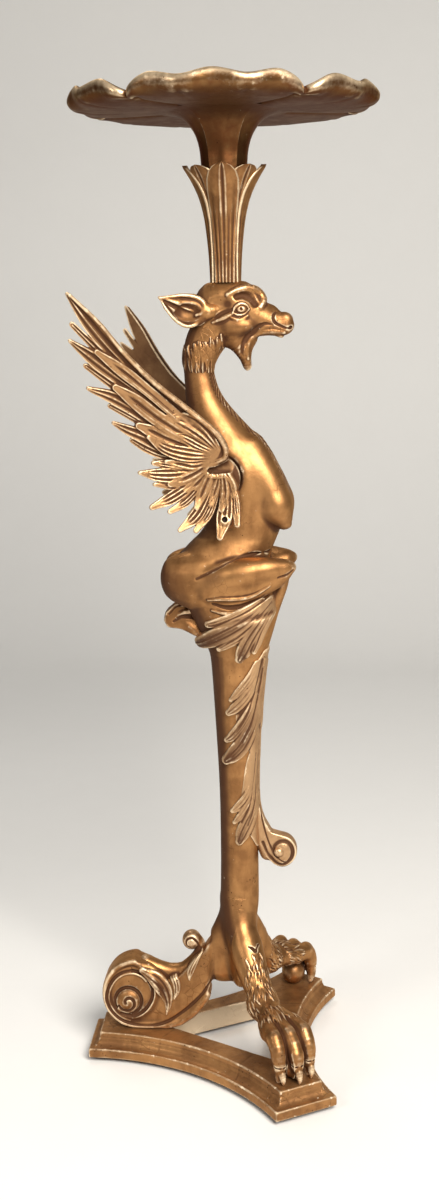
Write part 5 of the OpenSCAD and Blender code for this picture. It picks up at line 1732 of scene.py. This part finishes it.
class STAND_OT_fittings(StandOperator):
    """Gives the dowels, tenons, screws and pads their finish"""

    bl_idname = "stand.fittings"
    bl_label = "Dowels, screws and pads"

    def make(self, context):
        bare = wood("Bare wood", tuple(finish().bare_wood))
        dark = wood("Pad wood", (0.30, 0.17, 0.08, 1.0), 0.5, 0.7)
        steel = screw_steel()
        for node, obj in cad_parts.items():
            if node.endswith(("_dowel", "_dowels", "_tenons")):
                set_finish(obj, bare)
            elif node.endswith("_pad"):
                set_finish(obj, dark)
            elif node.endswith("_screws"):
                set_finish(obj, steel)


class STAND_OT_stage(StandOperator):
    """Makes the pale floor and backdrop, the soft lamps and the camera"""

    bl_idname = "stand.stage"
    bl_label = "Floor, lamps and camera"

    def make(self, context):
        scene = context.scene
        st = scene.stand_stage
        scene.view_settings.view_transform = "Standard"
        self.backdrop(st)
        self.lamps(scene, st)
        self.camera(scene, st)

    def backdrop(self, st):
        paper, g, shader, coord = start_material("Paper")
        shade = tuple(c * 0.985 for c in st.paper[:3]) + (1.0,)
        tone = g.use("Patina", {"Coordinates": coord, "Leaf": tuple(st.paper), "Shade": shade, "Amount": 0.5})
        g.plug(tone["Colour"], shader.inputs["Base Color"])
        shader.inputs["Roughness"].default_value = 0.9
        shader.inputs["Specular IOR Level"].default_value = 0.2
        # from behind the paper can be looked through, so that the stand shows from every side
        behind = g.put("ShaderNodeNewGeometry").outputs["Backfacing"]
        seen = g.put("ShaderNodeLightPath").outputs["Is Camera Ray"]
        clear = g.put("ShaderNodeBsdfTransparent").outputs[0]
        both = g.put("ShaderNodeMixShader", {0: g.times(behind, seen), 1: shader.outputs[0], 2: clear})
        g.plug(both.outputs[0], g.tree.nodes["Material Output"].inputs["Surface"])
        front, wall, bend, high, wide, low = -3200, 1900, 700, 3600, 3400, -0.05
        line = [(front, 0.0), (wall, 0.0)]
        for k in range(1, 13):
            t = math.radians(90 * k / 12)
            line.append((wall + bend * math.sin(t), bend - bend * math.cos(t)))
        line.append((wall + bend, high))
        rows = [[(x, y, z + low) for y, z in line] for x in np.linspace(-wide, wide, 9)]
        points, quads = strip(rows, closed=False)
        floor = bpy.data.objects.new("floor", raw_mesh("floor", points, quads[:, ::-1]))
        floor.data.materials.append(paper)
        bpy.context.scene.collection.objects.link(floor)

    def lamps(self, scene, st):
        world = bpy.data.worlds.new("Studio")
        scene.world = world
        world.use_nodes = True
        back = world.node_tree.nodes["Background"]
        back.inputs["Color"].default_value = (1.0, 0.985, 0.96, 1.0)
        back.inputs["Strength"].default_value = st.sky
        for name, watts, at, target, size, tint in (
            ("key", st.key_watts, (0.95, -1.95, 2.0), (0.0, 0.0, 0.6), 1.5, (1.0, 0.95, 0.88)),
            ("fill", st.fill_watts, (-1.5, -1.6, 1.5), (0.0, 0.0, 0.5), 0.7, (1.0, 0.96, 0.90)),
            ("back", st.rim_watts, (-0.6, 1.0, 2.4), (0.0, 0.0, 0.7), 0.8, (1.0, 0.97, 0.93)),
        ):
            lamp = bpy.data.lights.new(name, "AREA")
            lamp.energy = watts
            lamp.size = size
            lamp.color = tint
            obj = bpy.data.objects.new(name, lamp)
            obj.location = at
            obj.rotation_euler = (Vector(target) - Vector(at)).to_track_quat("-Z", "Y").to_euler()
            scene.collection.objects.link(obj)

    def camera(self, scene, st):
        lens = bpy.data.cameras.new("camera")
        lens.sensor_fit = "AUTO"
        lens.sensor_width = 36.0  # a 45 mm lens on small film, shifted to look down on the feet
        lens.lens = 45.0
        lens.shift_y = -0.25
        lens.clip_start, lens.clip_end = 0.05, 20.0
        cam = bpy.data.objects.new("camera", lens)
        cam.location = st.camera_at
        turn, roll = Matrix.Rotation(st.camera_turn, 4, "Z"), Matrix.Rotation(st.camera_roll, 4, "Z")
        cam.rotation_euler = (turn @ Matrix.Rotation(math.radians(90), 4, "X") @ roll).to_euler()
        scene.collection.objects.link(cam)
        scene.camera = cam


OPERATORS = (
    STAND_OT_dish,
    STAND_OT_neck,
    STAND_OT_capital,
    STAND_OT_beast,
    STAND_OT_ears,
    STAND_OT_wings,
    STAND_OT_leaves,
    STAND_OT_shaft,
    STAND_OT_legs,
    STAND_OT_plinth,
    STAND_OT_fittings,
    STAND_OT_stage,
)


class STAND_PT_panel(Panel):
    bl_idname = "STAND_PT_panel"
    bl_label = "Vase stand"
    bl_space_type = "VIEW_3D"
    bl_region_type = "UI"
    bl_category = "Vase stand"

    def draw(self, context):
        column = self.layout.column(align=True)
        for made in OPERATORS:
            column.operator(made.bl_idname)
        for settings in (context.scene.stand_sizes, context.scene.stand_finish, context.scene.stand_stage):
            box = self.layout.box()
            for name in settings.__annotations__:
                box.prop(settings, name)


CLASSES = (StandSizes, StandFinish, StandStage, *OPERATORS, STAND_PT_panel)


def register():
    for made in CLASSES:
        bpy.utils.register_class(made)
    bpy.types.Scene.stand_sizes = PointerProperty(type=StandSizes)
    bpy.types.Scene.stand_finish = PointerProperty(type=StandFinish)
    bpy.types.Scene.stand_stage = PointerProperty(type=StandStage)


def unregister():
    del bpy.types.Scene.stand_stage
    del bpy.types.Scene.stand_finish
    del bpy.types.Scene.stand_sizes
    for made in reversed(CLASSES):
        bpy.utils.unregister_class(made)


def main():
    register()
    for made in OPERATORS:
        family, name = made.bl_idname.split(".")
        getattr(getattr(bpy.ops, family), name)()


if __name__ == "__main__":
    main()
